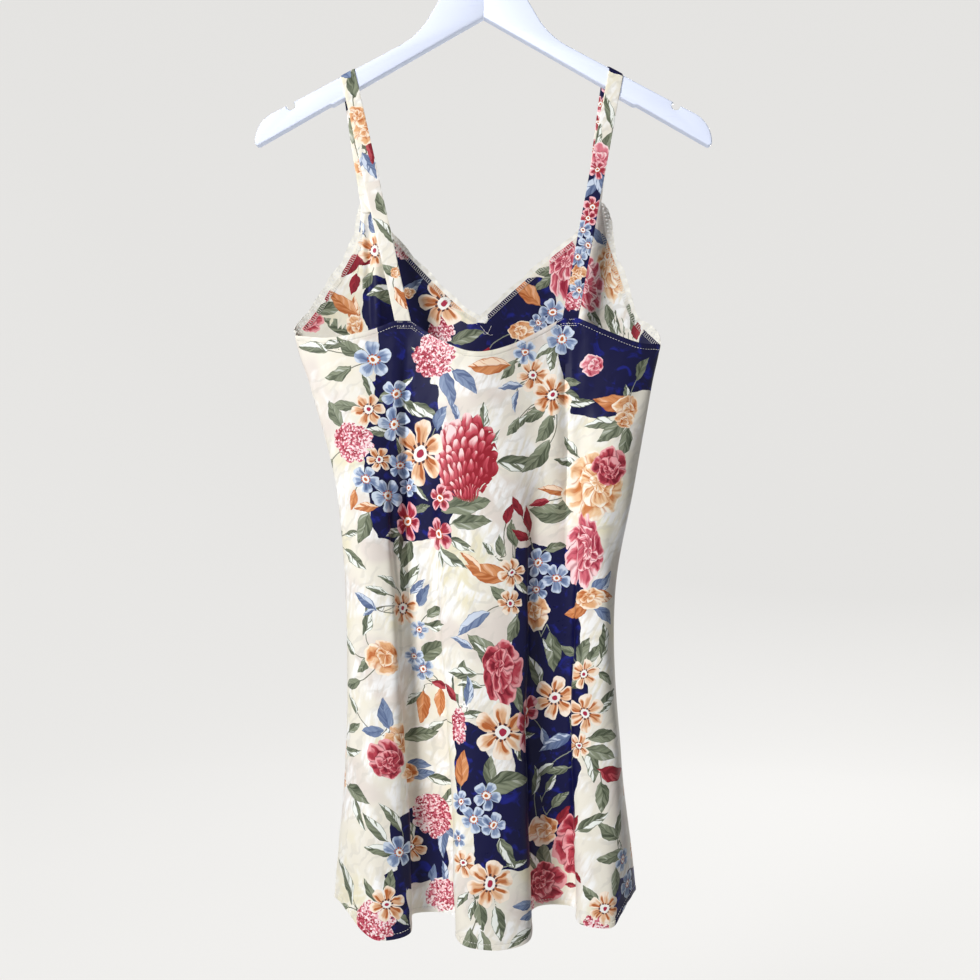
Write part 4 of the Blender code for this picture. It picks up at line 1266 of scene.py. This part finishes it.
def build_lace(name, first, last, width, strap_end, scallop, material):
    """One edging: a net wall off the cloth's edge, scalloped, and mitred at the V's point."""
    edge = Edge(first, last)
    index = evenly(edge.line, LACE_PITCH)
    run = np.interp(index, np.arange(len(edge.run)), edge.run)
    from_strap = run if strap_end == "start" else run[-1] - run
    if name in LACE_WAVES:
        reach = width * np.interp(from_strap, *zip(*LACE_WAVES[name]))
    else:
        reach = np.minimum(LACE_START + (LACE_GROWTH * width) * from_strap, width)
        reach = reach * (0.72 + 0.28 * abs(np.sin(np.pi * from_strap / scallop)) ** 0.7)
    reach += (PICOT_REACH * abs(np.sin(np.pi * from_strap / PICOT_PITCH))
              + 0.3 * np.sin(from_strap / 6.3))
    mitred, middle = V_PLACE in (first, last), v_point()[0]
    if mitred:
        from_v = run if first == V_PLACE else run[-1] - run
        reach = reach + np.clip(LACE_MITRE - from_v, 0.0, LACE_MITRE) * 0.5
    rows = []
    for j in range(LACE_ROWS):
        share = j / (LACE_ROWS - 1)
        beyond = -LACE_OVERLAP + (reach + LACE_OVERLAP) * share
        flutter = 0.55 * np.sin(run / 1.9 + 0.8 * np.sin(run / 7.0)) * share ** 1.5
        points = edge.at(index, beyond[:, None], (flutter + 0.55 * (1 - share))[:, None])
        if mitred:
            inner = points[:, 0] < middle if last == V_PLACE else points[:, 0] > middle
            points[~inner, 0] = middle
        rows.append(points)
    grid = np.array(rows)
    holes = {(row, k) for row, period, which in LACE_HOLES
             for k in range(len(index) - 1) if k % period in which}
    faces = grid_faces(LACE_ROWS, len(index), -1, missing=holes)
    made = new_piece(name + "_edging", grid.reshape(-1, 3), faces, material)
    add_modifier(made, "SOLIDIFY", thickness=LACE_WALL * MM, offset=0.0)
    smooth_piece(made, 45.0)
    return made, edge


# The overlocked edge: its depth, the pitch of its crossing threads, their radius, and that of
# the thread along its deep side.
OVERLOCK_DEPTH = 4.2
OVERLOCK_PITCH = 2.1
OVERLOCK_THREAD = 0.26
LOOPER_THREAD = 0.16

# Loose ends of thread below the point of the neckline: how far below, their radius, their
# routes as (across, down) from there, and the small knot that ties them.
TAILS_BELOW = 4.0
TAIL_THREAD = 0.21
TAILS = (
    ((0.0, 0.0), (2.5, 3.5), (5.0, 6.5), (7.0, 8.0)),
    ((11.0, 0.0), (9.5, 3.0), (8.2, 6.0), (7.0, 8.0), (9.5, 9.8), (12.5, 9.2)),
    ((7.0, 8.0), (4.5, 8.8), (2.5, 7.6)),
)
KNOT_AT = (7.0, 8.0)


def build_overlock(edges, sizes, material):
    """The white ladder of thread that binds the raw edge, inside the front."""
    thread = Thread()
    inside = -(sizes.cloth_wall / MM / 2 + 0.18)
    for edge in edges:
        index = evenly(edge.line, OVERLOCK_PITCH, 1.0, 1.0)
        rim = edge.at(index, -0.3, inside)
        deep = edge.at(index, -OVERLOCK_DEPTH, inside)
        up = -at_index(edge.facing, index)
        for k in range(len(index) - 1):
            uneven = 0.2 * (shuffle(k, float(edge.place[0])) - 0.5)
            thread.add(rim[k], deep[k] + (deep[k + 1] - deep[k]) * (0.25 + uneven), up[k],
                       OVERLOCK_THREAD, 0.12)
            thread.add(deep[k], deep[k + 1], up[k], LOOPER_THREAD, 0.15)
    point = v_point(TAILS_BELOW, inside - 0.3)
    for route in TAILS:
        line = [point + np.array((x, -0.25 * k, -z)) for k, (x, z) in enumerate(route)]
        for start, end in zip(line, line[1:]):
            thread.add(start, end, (0, -1, 0), TAIL_THREAD)
    knot = point + np.array((KNOT_AT[0], -1.2, -KNOT_AT[1]))
    for angle in np.radians(range(0, 180, 36)):
        arm = np.array((math.cos(angle), -0.3, math.sin(angle)))
        thread.add(knot - arm * 0.8, knot + arm * 0.8, (0, -1, 0), 0.4)
    return thread.piece("overlocked_edge", material)


def stitch_row(thread, panel, start, end, drop_of, pitch, length, lift, radius=0.26):
    """A row of stitches on a panel's outside, between two places."""
    place = np.linspace(start, end, 1400)
    drops = drop_of(place)
    line = panel.surface(place, drops, lift)
    nx, ny = panel.facing(place, drops)
    facing = np.stack((nx, ny, np.zeros(len(nx))), axis=-1)
    index = evenly(line, pitch, 0.8, 0.8)
    middle, up = at_index(line, index), at_index(facing, index)
    along = at_index(unit(np.gradient(line, axis=0)), index)
    for k in range(len(index)):
        half = along[k] * length / 2 * (1 + 0.16 * (shuffle(k, start, end) - 0.5))
        thread.add(middle[k] - half, middle[k] + half, up[k], radius, 0.10)


# How far in from a folded edge its stitches run.
STITCH_INSET = 5.2
# Rows across a strap's sewn end, below the edge, half their length, and the length of one
# place across there.
TACK_ROWS = (1.2, 7.2)
TACK_HALF = 7.4
PLACE_LENGTH = 50.0


def build_stitches(name, panel, sizes, with_neckline, material):
    """A panel's hem stitching, and for the back its neckline's and its strap tacks."""
    thread = Thread()
    lift = sizes.cloth_wall / MM / 2 - 0.06
    pitch = sizes.stitch_pitch / MM
    ends = (0.02, panel.last - 0.02)
    stitch_row(thread, panel, *ends, lambda p: panel.hem(p) - STITCH_INSET, pitch,
               pitch * 0.78, lift)
    if with_neckline:
        stitch_row(thread, panel, *ends, lambda p: panel.top(p) + STITCH_INSET, pitch,
                   pitch * 0.62, lift, 0.30)
        for strap in STRAPS.values():
            place, half = strap["back_place"], TACK_HALF / PLACE_LENGTH
            for down in TACK_ROWS:
                stitch_row(thread, panel, place - half, place + half,
                           lambda p, d=down: panel.top(p) + d, 1.7, 1.7, lift + 0.2, 0.24)
            top = float(panel.top(np.array([place]))[0])
            link = [panel.surface(place - 0.01 * k, top + TACK_ROWS[0] + k * 1.3, lift + 0.25)
                    for k in range(5)]
            for start, end in zip(link, link[1:]):
                thread.add(start, end, (0, -1, 0), 0.24)
    return thread.piece(name, material)


# ---------------------------------------------------------------------------------------
# Straps
# ---------------------------------------------------------------------------------------
# The hanger's arms, as the solids have them: their wall, the rounding of their rims, and the
# drop, the x and the slope of the upper edge that carries the straps.
ARM_WALL = 12.0
ARM_ROUNDING = 1.5
UPPER_DROP = 178.1
UPPER_AT = 131.5
UPPER_SLOPE = 0.535

# A strap's half width and half thickness, the wall of its cloth, the points round it and the
# length of its faces, how far down the arm's face it lies flat, and its tail in the seam.
STRAP_HALF = 7.5
STRAP_THICK = 0.62
STRAP_CLOTH = 0.3
STRAP_SIDES = 24
STRAP_STEP = 2.2
STRAP_ON_FACE = 30.0
STRAP_TAIL = 9.0
# How far a strap's face keeps off the middle of the panel that it is sewn inside, and off the
# wood, and how far its two runs turn, in degrees, to hang flat.
STRAP_INSIDE = 0.55
STRAP_OFF_WOOD = 0.2
STRAP_TILTS = (12.9, 8.5)
# How far below its top a strap starts to turn to the arm's slope, and has turned to it.
STRAP_TURNS = (34.0, 4.0)
STRAPS = {
    "left": {"side": -1, "arm_back_x": -131.5, "arm_front_x": -132.0,
             "back_x": -78.0, "back_drop": 419.0, "back_place": 2.0,
             "front_x": -113.4, "front_drop": 301.0, "front_place": 1.5},
    "right": {"side": 1, "arm_back_x": 128.5, "arm_front_x": 123.5,
              "back_x": 84.0, "back_drop": 416.5, "back_place": 4.0,
              "front_x": 108.0, "front_drop": 301.0, "front_place": 6.5},
}


def arm_top(x):
    """Drop of the hanger arm's upper edge where the straps cross it."""
    return UPPER_DROP + UPPER_SLOPE * (abs(x) - UPPER_AT)


def strap_run(panel, place, x, drop, arm_x, face):
    """Middle line of one run, from its sewn end inside the panel up to the arm's face."""
    lean = (x - arm_x) / (drop - arm_top(arm_x))
    points = []
    for hidden in np.linspace(STRAP_TAIL, 0.0, 5):
        y = panel.surface(float(place), drop + hidden)[1]
        points.append((x + lean * hidden, y - panel.outward * (STRAP_INSIDE + STRAP_THICK),
                       -drop - hidden))
    start = np.array(points[-1])
    end = np.array((arm_x + lean * STRAP_ON_FACE, face, -arm_top(arm_x) - STRAP_ON_FACE))
    for share in np.linspace(0.0, 1.0, 60)[1:]:
        middle = start + (end - start) * share
        middle[1] += 0.9 * math.sin(math.pi * share) * math.sin(7.0 * share + place)
        points.append(tuple(middle))
    top = np.array((arm_x, face, -arm_top(arm_x) - ARM_ROUNDING))
    points += [tuple(end + (top - end) * share) for share in np.linspace(0, 1, 9)[1:]]
    return points


def strap_route(strap):
    """Middle line of a strap from back tail to front tail, and the tilt of its width."""
    face = ARM_WALL / 2 + STRAP_OFF_WOOD + STRAP_THICK
    wrap = ARM_ROUNDING + STRAP_OFF_WOOD + STRAP_THICK
    flat = ARM_WALL / 2 - ARM_ROUNDING
    back = strap_run(BACK, strap["back_place"], strap["back_x"], strap["back_drop"],
                     strap["arm_back_x"], -face)
    front = strap_run(FRONT, strap["front_place"], strap["front_x"], strap["front_drop"],
                      strap["arm_front_x"], face)
    over = []
    for corner, first in ((-flat, 180), (flat, 90)):
        for turn in np.radians(np.linspace(first, first - 90, 9)):
            y = corner + wrap * math.cos(turn)
            x = strap["arm_back_x"] + (strap["arm_front_x"] - strap["arm_back_x"]) * (
                (y + face) / (2 * face))
            rise = (wrap * math.sin(turn) - ARM_ROUNDING) * math.hypot(1.0, UPPER_SLOPE)
            over.append((x, y, rise - arm_top(x)))
    line = np.array(back + over[1:-1] + front[::-1])
    drop = -line[:, 2]
    arm = math.degrees(math.atan(UPPER_SLOPE))
    hang = np.where(np.arange(len(line)) < len(back) + len(over) / 2, *STRAP_TILTS)
    crest = -line[:, 2].max()
    tilt = hang + (arm - hang) * ease(drop - crest, *STRAP_TURNS)
    return line, tilt, len(back) + len(over) // 2 - 1


def build_strap(side, strap, material):
    """A strap as a flattened tube of thin cloth along its route, and its length."""
    line, tilt, crest = strap_route(strap)
    steps = np.linalg.norm(np.diff(line, axis=0), axis=1)
    run = np.concatenate(([0.0], np.cumsum(steps)))
    index = evenly(line, STRAP_STEP)
    middle, angle = at_index(line, index), np.radians(at_index(tilt, index))
    along = unit(np.gradient(middle, axis=0))
    across = np.stack((np.cos(angle), 0 * angle, -strap["side"] * np.sin(angle)), axis=-1)
    out = unit(np.cross(across, along))
    turn = 2 * np.pi * np.arange(STRAP_SIDES) / STRAP_SIDES
    wide = STRAP_HALF * np.sign(np.cos(turn)) * abs(np.cos(turn)) ** 0.42
    thick = STRAP_THICK * np.sign(np.sin(turn)) * abs(np.sin(turn)) ** 0.55
    run_at = at_index(run, index)
    pucker = 1 + 0.05 * np.sin(run_at / 9.0)[:, None] * np.cos(turn * 3)[None, :]
    edge_wave = 1 + 0.018 * np.sin(run_at / 13.0 + 1.0)[:, None]
    points = (middle[:, None, :] + across[:, None, :] * (wide * edge_wave)[..., None]
              + out[:, None, :] * (thick * pucker)[..., None])
    faces = grid_faces(len(index), STRAP_SIDES, 1, closed=True)
    made = new_piece(f"strap_{side}_tube", points.reshape(-1, 3), faces, material)
    from_crest = run[crest] - run_at
    down = np.broadcast_to(from_crest[:, None], points.shape[:2])
    over = np.broadcast_to(wide, points.shape[:2])
    motifs = [(kind, float(x), float(z), float(size), 1.0)
              for kind, rows in STRAP_PRINT[side].items() for x, z, size in rows]
    navy = [(-20.0, 20.0, top, bottom) for top, bottom in STRAP_NAVY[side]]
    print_on(made.data, over.ravel(), down.ravel(), motifs, navy)
    face_out(made)
    add_modifier(made, "SOLIDIFY", thickness=STRAP_CLOTH * MM, offset=-1.0)
    smooth_piece(made, 60.0)
    return made, run[-1]


# ---------------------------------------------------------------------------------------
# Hanger
# ---------------------------------------------------------------------------------------
# An arm's outline, as the solids have it: the gap at its centre joint and the bevel there,
# its reach, the drops of its head and of its lower edge, and the slope of that edge.
SEAT_GAP = 0.3
JOINT_BEVEL = 0.3
ARM_REACH = 221.8
HEAD_DROP = 72.0
CENTRE_DROP = 123.5
LOWER_SLOPE = 0.571
# The round shoulder beside the head, and the hollow that runs from it into the upper edge.
SHOULDER_RADIUS = 26.0
SHOULDER_AT = 7.6
FLANK_ANGLE = 60.5
HOLLOW_CENTRE = (-116.0, -87.0)
HOLLOW_RADIUS = 73.0
# The notch, the round end, the nose below it, and the low block under the strap.
NOTCH_AT = 186.9
NOTCH_RADIUS = 4.2
NOTCH_SINK = 1.8
END_DROP = 245.0
END_RADIUS = 32.0
NOSE_RADIUS = 3.0
BLOCK_OUTER = 149.0
BLOCK_INNER = 126.0
BLOCK_DEPTH = 2.0
BLOCK_SLOPE = 3.0
# The hook's wire, its round, the bend of its shank, how deep it goes into the wood, how far
# round it turns, and the rounding of its cut ends.
WIRE_RADIUS = 1.9
HOOK_RADIUS = 19.9
SHANK_BEND = 12.0
SHANK_DEPTH = 14.0
HOOK_END_ANGLE = 195.0
WIRE_BEVEL = 0.5


def arc(centre, radius, start, end, count):
    """Points on an arc in the hanger's plane, angles in degrees from +X towards +Z."""
    return [(centre[0] + radius * math.cos(angle), centre[1] + radius * math.sin(angle))
            for angle in np.radians(np.linspace(start, end, count + 1))]


def arm_outline():
    """Outline of the left arm, anticlockwise from the top of its centre joint."""
    joint = -SEAT_GAP / 2
    lower_angle = math.degrees(math.atan(LOWER_SLOPE))
    upper_angle = math.degrees(math.atan(UPPER_SLOPE))

    def lower(x, depth=0.0):
        return (x, -CENTRE_DROP + LOWER_SLOPE * x - depth)

    notch = (-NOTCH_AT, -arm_top(NOTCH_AT) - NOTCH_SINK)
    outline = [(joint, -HEAD_DROP)]
    outline += arc((-SHOULDER_AT, -HEAD_DROP - SHOULDER_RADIUS), SHOULDER_RADIUS, 90,
                   90 + FLANK_ANGLE, 12)
    outline += arc(HOLLOW_CENTRE, HOLLOW_RADIUS, FLANK_ANGLE - 90, upper_angle - 90, 12)
    outline += arc(notch, NOTCH_RADIUS, upper_angle + 24, upper_angle - 204, 14)
    outline += arc((END_RADIUS - ARM_REACH, -END_DROP), END_RADIUS, 90 + upper_angle, 180,
                   14)[:-1]
    outline += arc((NOSE_RADIUS - ARM_REACH, -END_DROP), NOSE_RADIUS, 180,
                   270 + lower_angle, 8)
    outline += [lower(-BLOCK_OUTER), lower(BLOCK_SLOPE - BLOCK_OUTER, BLOCK_DEPTH),
                lower(-BLOCK_INNER - BLOCK_SLOPE, BLOCK_DEPTH), lower(-BLOCK_INNER)]
    outline.append(lower(joint))
    return outline


def build_arm(name, side, material):
    """A flat arm, cut to its outline and rounded over all along its rim."""
    outline = arm_outline()
    only()
    bpy.ops.mesh.primitive_circle_add(vertices=len(outline), radius=0.1, fill_type="NGON")
    arm = bpy.context.object
    arm.name = arm.data.name = name
    for vertex, (x, z) in zip(arm.data.vertices, outline):
        vertex.co = (-side * x * MM, -ARM_WALL / 2 * MM, z * MM)
    bpy.ops.object.mode_set(mode="EDIT")
    bpy.ops.mesh.select_all(action="SELECT")
    bpy.ops.mesh.extrude_region_move(
        TRANSFORM_OT_translate={"value": (0.0, ARM_WALL * MM, 0.0)})
    face_out(arm)
    mesh = arm.data
    weights = np.zeros(len(mesh.edges))
    for edge in mesh.edges:
        a, b = (mesh.vertices[k].co for k in edge.vertices)
        in_face, at_joint = abs(a.y - b.y) < 1e-6, max(abs(a.x), abs(b.x)) < 1e-3
        if in_face:
            weights[edge.index] = JOINT_BEVEL / ARM_ROUNDING if at_joint else 1.0
    mesh.attributes.new("bevel_weight_edge", "FLOAT", "EDGE").data.foreach_set(
        "value", weights.astype(np.float32))
    mesh.materials.append(material)
    add_modifier(arm, "BEVEL", width=ARM_ROUNDING * MM, segments=5, limit_method="WEIGHT",
                 use_clamp_overlap=False, harden_normals=False)
    smooth_piece(arm, 35.0)
    return arm


def build_hook(name, material):
    """The wire, drawn up out of the wood, bent to one side and turned over the rod."""
    centre_z = WIRE_RADIUS - HOOK_RADIUS
    leave = math.acos(SHANK_BEND / (SHANK_BEND + HOOK_RADIUS))
    height = centre_z - (HOOK_RADIUS + SHANK_BEND) * math.sin(leave)
    foot = -HEAD_DROP - SHANK_DEPTH
    only()
    bpy.ops.mesh.primitive_circle_add(vertices=20, radius=WIRE_RADIUS * MM,
                                      fill_type="NGON", location=(0, 0, foot * MM))
    hook = bpy.context.object
    hook.name = hook.data.name = name
    bpy.ops.object.transform_apply(location=True, rotation=True, scale=True)
    bpy.ops.object.mode_set(mode="EDIT")
    bpy.ops.mesh.select_all(action="SELECT")
    bpy.ops.mesh.extrude_region_move(
        TRANSFORM_OT_translate={"value": (0.0, 0.0, (height - foot) * MM)})
    bpy.ops.mesh.spin(steps=12, angle=-leave, center=(SHANK_BEND * MM, 0.0, height * MM),
                      axis=(0.0, 1.0, 0.0))
    bpy.ops.mesh.spin(steps=56, angle=leave + math.radians(HOOK_END_ANGLE),
                      center=(0.0, 0.0, centre_z * MM), axis=(0.0, 1.0, 0.0))
    bpy.ops.mesh.select_all(action="SELECT")
    bpy.ops.mesh.remove_doubles(threshold=1e-5)
    face_out(hook)
    hook.data.materials.append(material)
    add_modifier(hook, "BEVEL", width=WIRE_BEVEL * MM, segments=3, limit_method="ANGLE",
                 angle_limit=math.radians(60))
    smooth_piece(hook, 40.0)
    return hook


# ---------------------------------------------------------------------------------------
# Studio
# ---------------------------------------------------------------------------------------
# The floor's radius and its drop, in metres, and the share of the radius that is flat.
FLOOR_RADIUS = 3.6
FLOOR_DROP = 1.3
FLOOR_FLAT = 0.62

# Each light: its name, its place and its size in metres, and which power is its own. They
# all point at the middle of the dress.
LIGHTS = (
    ("key_light", (-1.55, -1.85, 0.55), (0.8, 1.0), "key"),
    ("fill_light", (1.2, -2.4, -0.4), (2.2, 2.2), "fill"),
    ("top_light", (0.0, 0.2, 1.9), (2.6, 2.6), "fill"),
    ("rear_light", (0.95, 2.3, 0.55), (1.0, 1.2), "rear"),
    ("low_light", (0.0, -0.4, -3.2), (2.4, 2.4), "low"),
)
LIT_PLACE = (0.0, 0.0, -0.62)


def studio_floor(radius, drop):
    """A round pale floor that curves up into a wall on every side."""
    only()
    flat = radius * FLOOR_FLAT
    bpy.ops.mesh.primitive_circle_add(vertices=96, radius=flat, fill_type="NGON",
                                      location=(0, 0, -drop))
    floor = bpy.context.object
    floor.name = floor.data.name = "studio_floor"
    bpy.ops.object.transform_apply(location=True, rotation=True, scale=True)
    bpy.ops.object.mode_set(mode="EDIT")
    bpy.ops.mesh.select_all(action="SELECT")
    previous, bend = flat, radius - flat
    for turn in np.radians(np.linspace(0, 90, 19)[1:]):
        reach = flat + bend * math.sin(turn)
        rise = bend * (math.cos(turn - math.radians(5)) - math.cos(turn))
        bpy.ops.mesh.extrude_region_move(
            TRANSFORM_OT_translate={"value": (0.0, 0.0, rise)})
        bpy.ops.transform.resize(value=(reach / previous, reach / previous, 1.0),
                                 center_override=(0.0, 0.0, 0.0))
        previous = reach
    bpy.ops.mesh.extrude_region_move(TRANSFORM_OT_translate={"value": (0.0, 0.0, radius)})
    bpy.ops.mesh.delete(type="ONLY_FACE")
    face_out(floor, inside=True)
    smooth_piece(floor, 40.0)
    board = Board("studio_paper")
    place = board.place()
    mottle = board.noise(place, 0.0022, 2.0)
    board.finish(Base_Color=board.mix(shade(92, 91, 90), shade(87, 87, 86), mottle),
                 Roughness=0.9, Emission_Color=shade(221, 220, 218), Emission_Strength=1.0)
    floor.data.materials.append(board.material)
    floor.visible_diffuse = floor.visible_shadow = False


def add_light(name, place, size, power):
    """A soft rectangle of light that points at the dress and doesn't show itself."""
    light = bpy.data.lights.new(name, "AREA")
    light.shape, (light.size, light.size_y), light.energy = "RECTANGLE", size, power
    made = bpy.data.objects.new(name, light)
    bpy.context.scene.collection.objects.link(made)
    made.location = place
    made.rotation_mode = "QUATERNION"
    made.rotation_quaternion = (Vector(LIT_PLACE) - Vector(place)).to_track_quat("-Z", "Y")
    made.visible_camera = False


# ---------------------------------------------------------------------------------------
# The add-on: settings, one operator for each piece or group, and the sidebar panel
# ---------------------------------------------------------------------------------------
def colour_setting(name, description, *screen_colour):
    """A colour that a user may change, from its screen colour."""
    return bpy.props.FloatVectorProperty(
        name=name, description=description, size=3, subtype="COLOR",
        default=shade(*screen_colour)[:3], min=0.0, max=1.0)


def power_setting(name, description, watts):
    """A light's power that a user may change."""
    return bpy.props.FloatProperty(name=name, description=description, default=watts,
                                   min=0.0, max=500.0, unit="POWER")


class SlipDressSizes(bpy.types.PropertyGroup):
    cloth_wall: bpy.props.FloatProperty(
        name="Cloth thickness", description="Thickness of the satin", default=0.0006,
        min=0.0002, max=0.0015, unit="LENGTH")
    stitch_pitch: bpy.props.FloatProperty(
        name="Stitch pitch", description="Distance from one stitch to the next in the "
        "neckline's and the hems' stitching", default=0.0028, min=0.0015, max=0.006,
        unit="LENGTH")
    lace_scale: bpy.props.FloatProperty(
        name="Lace width", description="Width of the lace edging, as a share of its own",
        default=1.0, min=0.5, max=1.3, subtype="FACTOR")


class SlipDressColours(bpy.types.PropertyGroup):
    ground: colour_setting("Cream ground", "Ground of the satin", 235, 230, 217)
    navy: colour_setting("Navy ground", "Dark patches of the ground", 14, 15, 58)
    lace: colour_setting("Lace", "Lace edging", 245, 246, 246)
    thread: colour_setting("Thread", "Stitching and overlocked edges", 236, 234, 226)
    paint: colour_setting("Hanger paint", "Paint on the wooden hanger", 219, 224, 241)


class SlipDressLight(bpy.types.PropertyGroup):
    key: power_setting("Key light", "Power of the large soft light", 76.0)
    fill: power_setting("Fill light", "Power of the lights above and on the other side", 3.0)
    rear: power_setting("Rear light", "Power of the light on the dress's front", 62.0)
    low: power_setting("Low light", "Power of the light from under the paper floor", 40.0)
    room: bpy.props.FloatProperty(
        name="Room light", description="Strength of the even light all round",
        default=0.13, min=0.0, max=3.0, subtype="FACTOR")


def satin(scene):
    """The panels' and the straps' one material."""
    return material_of("printed_satin", lambda: printed_satin(scene.slip_colours))


def thread_material(scene):
    """The material of all stitching and overlocking."""
    return material_of("thread", lambda: woven_trim(
        "thread", tuple(scene.slip_colours.thread), 0.55, 1.6))


class SLIP_OT_back(bpy.types.Operator):
    """Cuts the back panel, hangs it in its folds and prints it"""
    bl_idname = "slip.back"
    bl_label = "Back panel"

    def execute(self, context):
        scene = context.scene
        back = build_panel("back_satin", BACK, BACK_COLUMNS, True, *print_of_back(),
                           scene.slip_sizes, satin(scene))
        ride(back)
        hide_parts("back_panel")
        stitches = build_stitches("back_stitching", BACK, scene.slip_sizes, True,
                                  thread_material(scene))
        ride(stitches)
        return {"FINISHED"}


class SLIP_OT_front(bpy.types.Operator):
    """Cuts the front panel, hangs it in its folds and prints it"""
    bl_idname = "slip.front"
    bl_label = "Front panel"

    def execute(self, context):
        scene = context.scene
        front = build_panel("front_satin", FRONT, FRONT_COLUMNS, False, *print_of_front(),
                            scene.slip_sizes, satin(scene))
        ride(front)
        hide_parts("front_panel")
        thread = thread_material(scene)
        stitches = build_stitches("front_stitching", FRONT, scene.slip_sizes, False, thread)
        edges = [Edge(first, last) for _, first, last, *_ in LACE]
        overlock = build_overlock(edges, scene.slip_sizes, thread)
        for piece in (stitches, overlock):
            ride(piece)
        return {"FINISHED"}


class SLIP_OT_lace(bpy.types.Operator):
    """Sews the four lace edgings along the front's neckline and armholes"""
    bl_idname = "slip.lace"
    bl_label = "Lace edging"

    def execute(self, context):
        scene = context.scene
        material = material_of("lace", lambda: woven_trim(
            "lace", tuple(scene.slip_colours.lace), 0.8, 0.9))
        for name, first, last, width, strap_end, scallop in LACE:
            made, edge = build_lace(name, first, last, width * scene.slip_sizes.lace_scale,
                                    strap_end, scallop, material)
            ride(made)
            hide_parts(name)
        return {"FINISHED"}


class SLIP_OT_straps(bpy.types.Operator):
    """Folds the two straps and hangs them over the hanger's arms"""
    bl_idname = "slip.straps"
    bl_label = "Straps"

    def execute(self, context):
        for side, strap in STRAPS.items():
            made, length = build_strap(side, strap, satin(context.scene))
            ride(made)
            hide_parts("strap_" + side)
        return {"FINISHED"}


class SLIP_OT_hanger(bpy.types.Operator):
    """Cuts, rounds and paints the hanger's two arms, and bends its hook"""
    bl_idname = "slip.hanger"
    bl_label = "Hanger"

    def execute(self, context):
        paint = material_of("hanger_paint", lambda: painted_wood(context.scene.slip_colours))
        for side, sign in (("left", -1), ("right", 1)):
            arm = build_arm(f"hanger_arm_{side}_painted", sign, paint)
            ride(arm)
            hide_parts("hanger_arm_" + side)
        hook = build_hook("hanger_hook_wire", plated_wire())
        ride(hook)
        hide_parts("hanger_hook")
        return {"FINISHED"}


class SLIP_OT_stage(bpy.types.Operator):
    """Sets the pale floor, the soft lights and the camera"""
    bl_idname = "slip.stage"
    bl_label = "Studio and camera"

    def execute(self, context):
        scene, light = context.scene, context.scene.slip_light
        studio_floor(FLOOR_RADIUS, FLOOR_DROP)
        for name, place, size, power in LIGHTS:
            add_light(name, place, size, getattr(light, power))
        world = bpy.data.worlds.new("studio_room")
        world.use_nodes = True
        background = world.node_tree.nodes["Background"]
        background.inputs["Color"].default_value = (1.0, 1.0, 1.0, 1.0)
        background.inputs["Strength"].default_value = light.room
        scene.world = world
        scene.view_settings.view_transform = "Standard"
        lens = bpy.data.cameras.new("camera")
        lens.sensor_width = CAMERA_SENSOR
        lens.lens = CAMERA_LENS
        camera = bpy.data.objects.new("camera", lens)
        scene.collection.objects.link(camera)
        camera.location = CAMERA_PLACE
        camera.rotation_euler = (math.radians(90), 0.0, 0.0)
        scene.camera = camera
        return {"FINISHED"}


class SLIP_PT_sidebar(bpy.types.Panel):
    """Lists the dress's settings and pieces"""
    bl_label = "Slip dress"
    bl_idname = "SLIP_PT_sidebar"
    bl_space_type = "VIEW_3D"
    bl_region_type = "UI"
    bl_category = "Slip dress"

    def draw(self, context):
        scene = context.scene
        for group in (scene.slip_sizes, scene.slip_colours, scene.slip_light):
            box = self.layout.box()
            for name in group.bl_rna.properties.keys():
                if name not in ("rna_type", "name"):
                    box.prop(group, name)
        for operator in OPERATORS:
            self.layout.operator(operator.bl_idname)


GROUPS = {"slip_sizes": SlipDressSizes, "slip_colours": SlipDressColours,
          "slip_light": SlipDressLight}
OPERATORS = (SLIP_OT_straps, SLIP_OT_back, SLIP_OT_front, SLIP_OT_lace, SLIP_OT_hanger,
             SLIP_OT_stage)


def register():
    for made in (*GROUPS.values(), *OPERATORS, SLIP_PT_sidebar):
        bpy.utils.register_class(made)
    for name, group in GROUPS.items():
        setattr(bpy.types.Scene, name, bpy.props.PointerProperty(type=group))


def unregister():
    for name in GROUPS:
        delattr(bpy.types.Scene, name)
    for made in (SLIP_PT_sidebar, *reversed(OPERATORS), *reversed(GROUPS.values())):
        bpy.utils.unregister_class(made)


def main():
    register()
    bpy.ops.slip.straps()
    bpy.ops.slip.back()
    bpy.ops.slip.front()
    bpy.ops.slip.lace()
    bpy.ops.slip.hanger()
    bpy.ops.slip.stage()


if __name__ == "__main__":
    main()
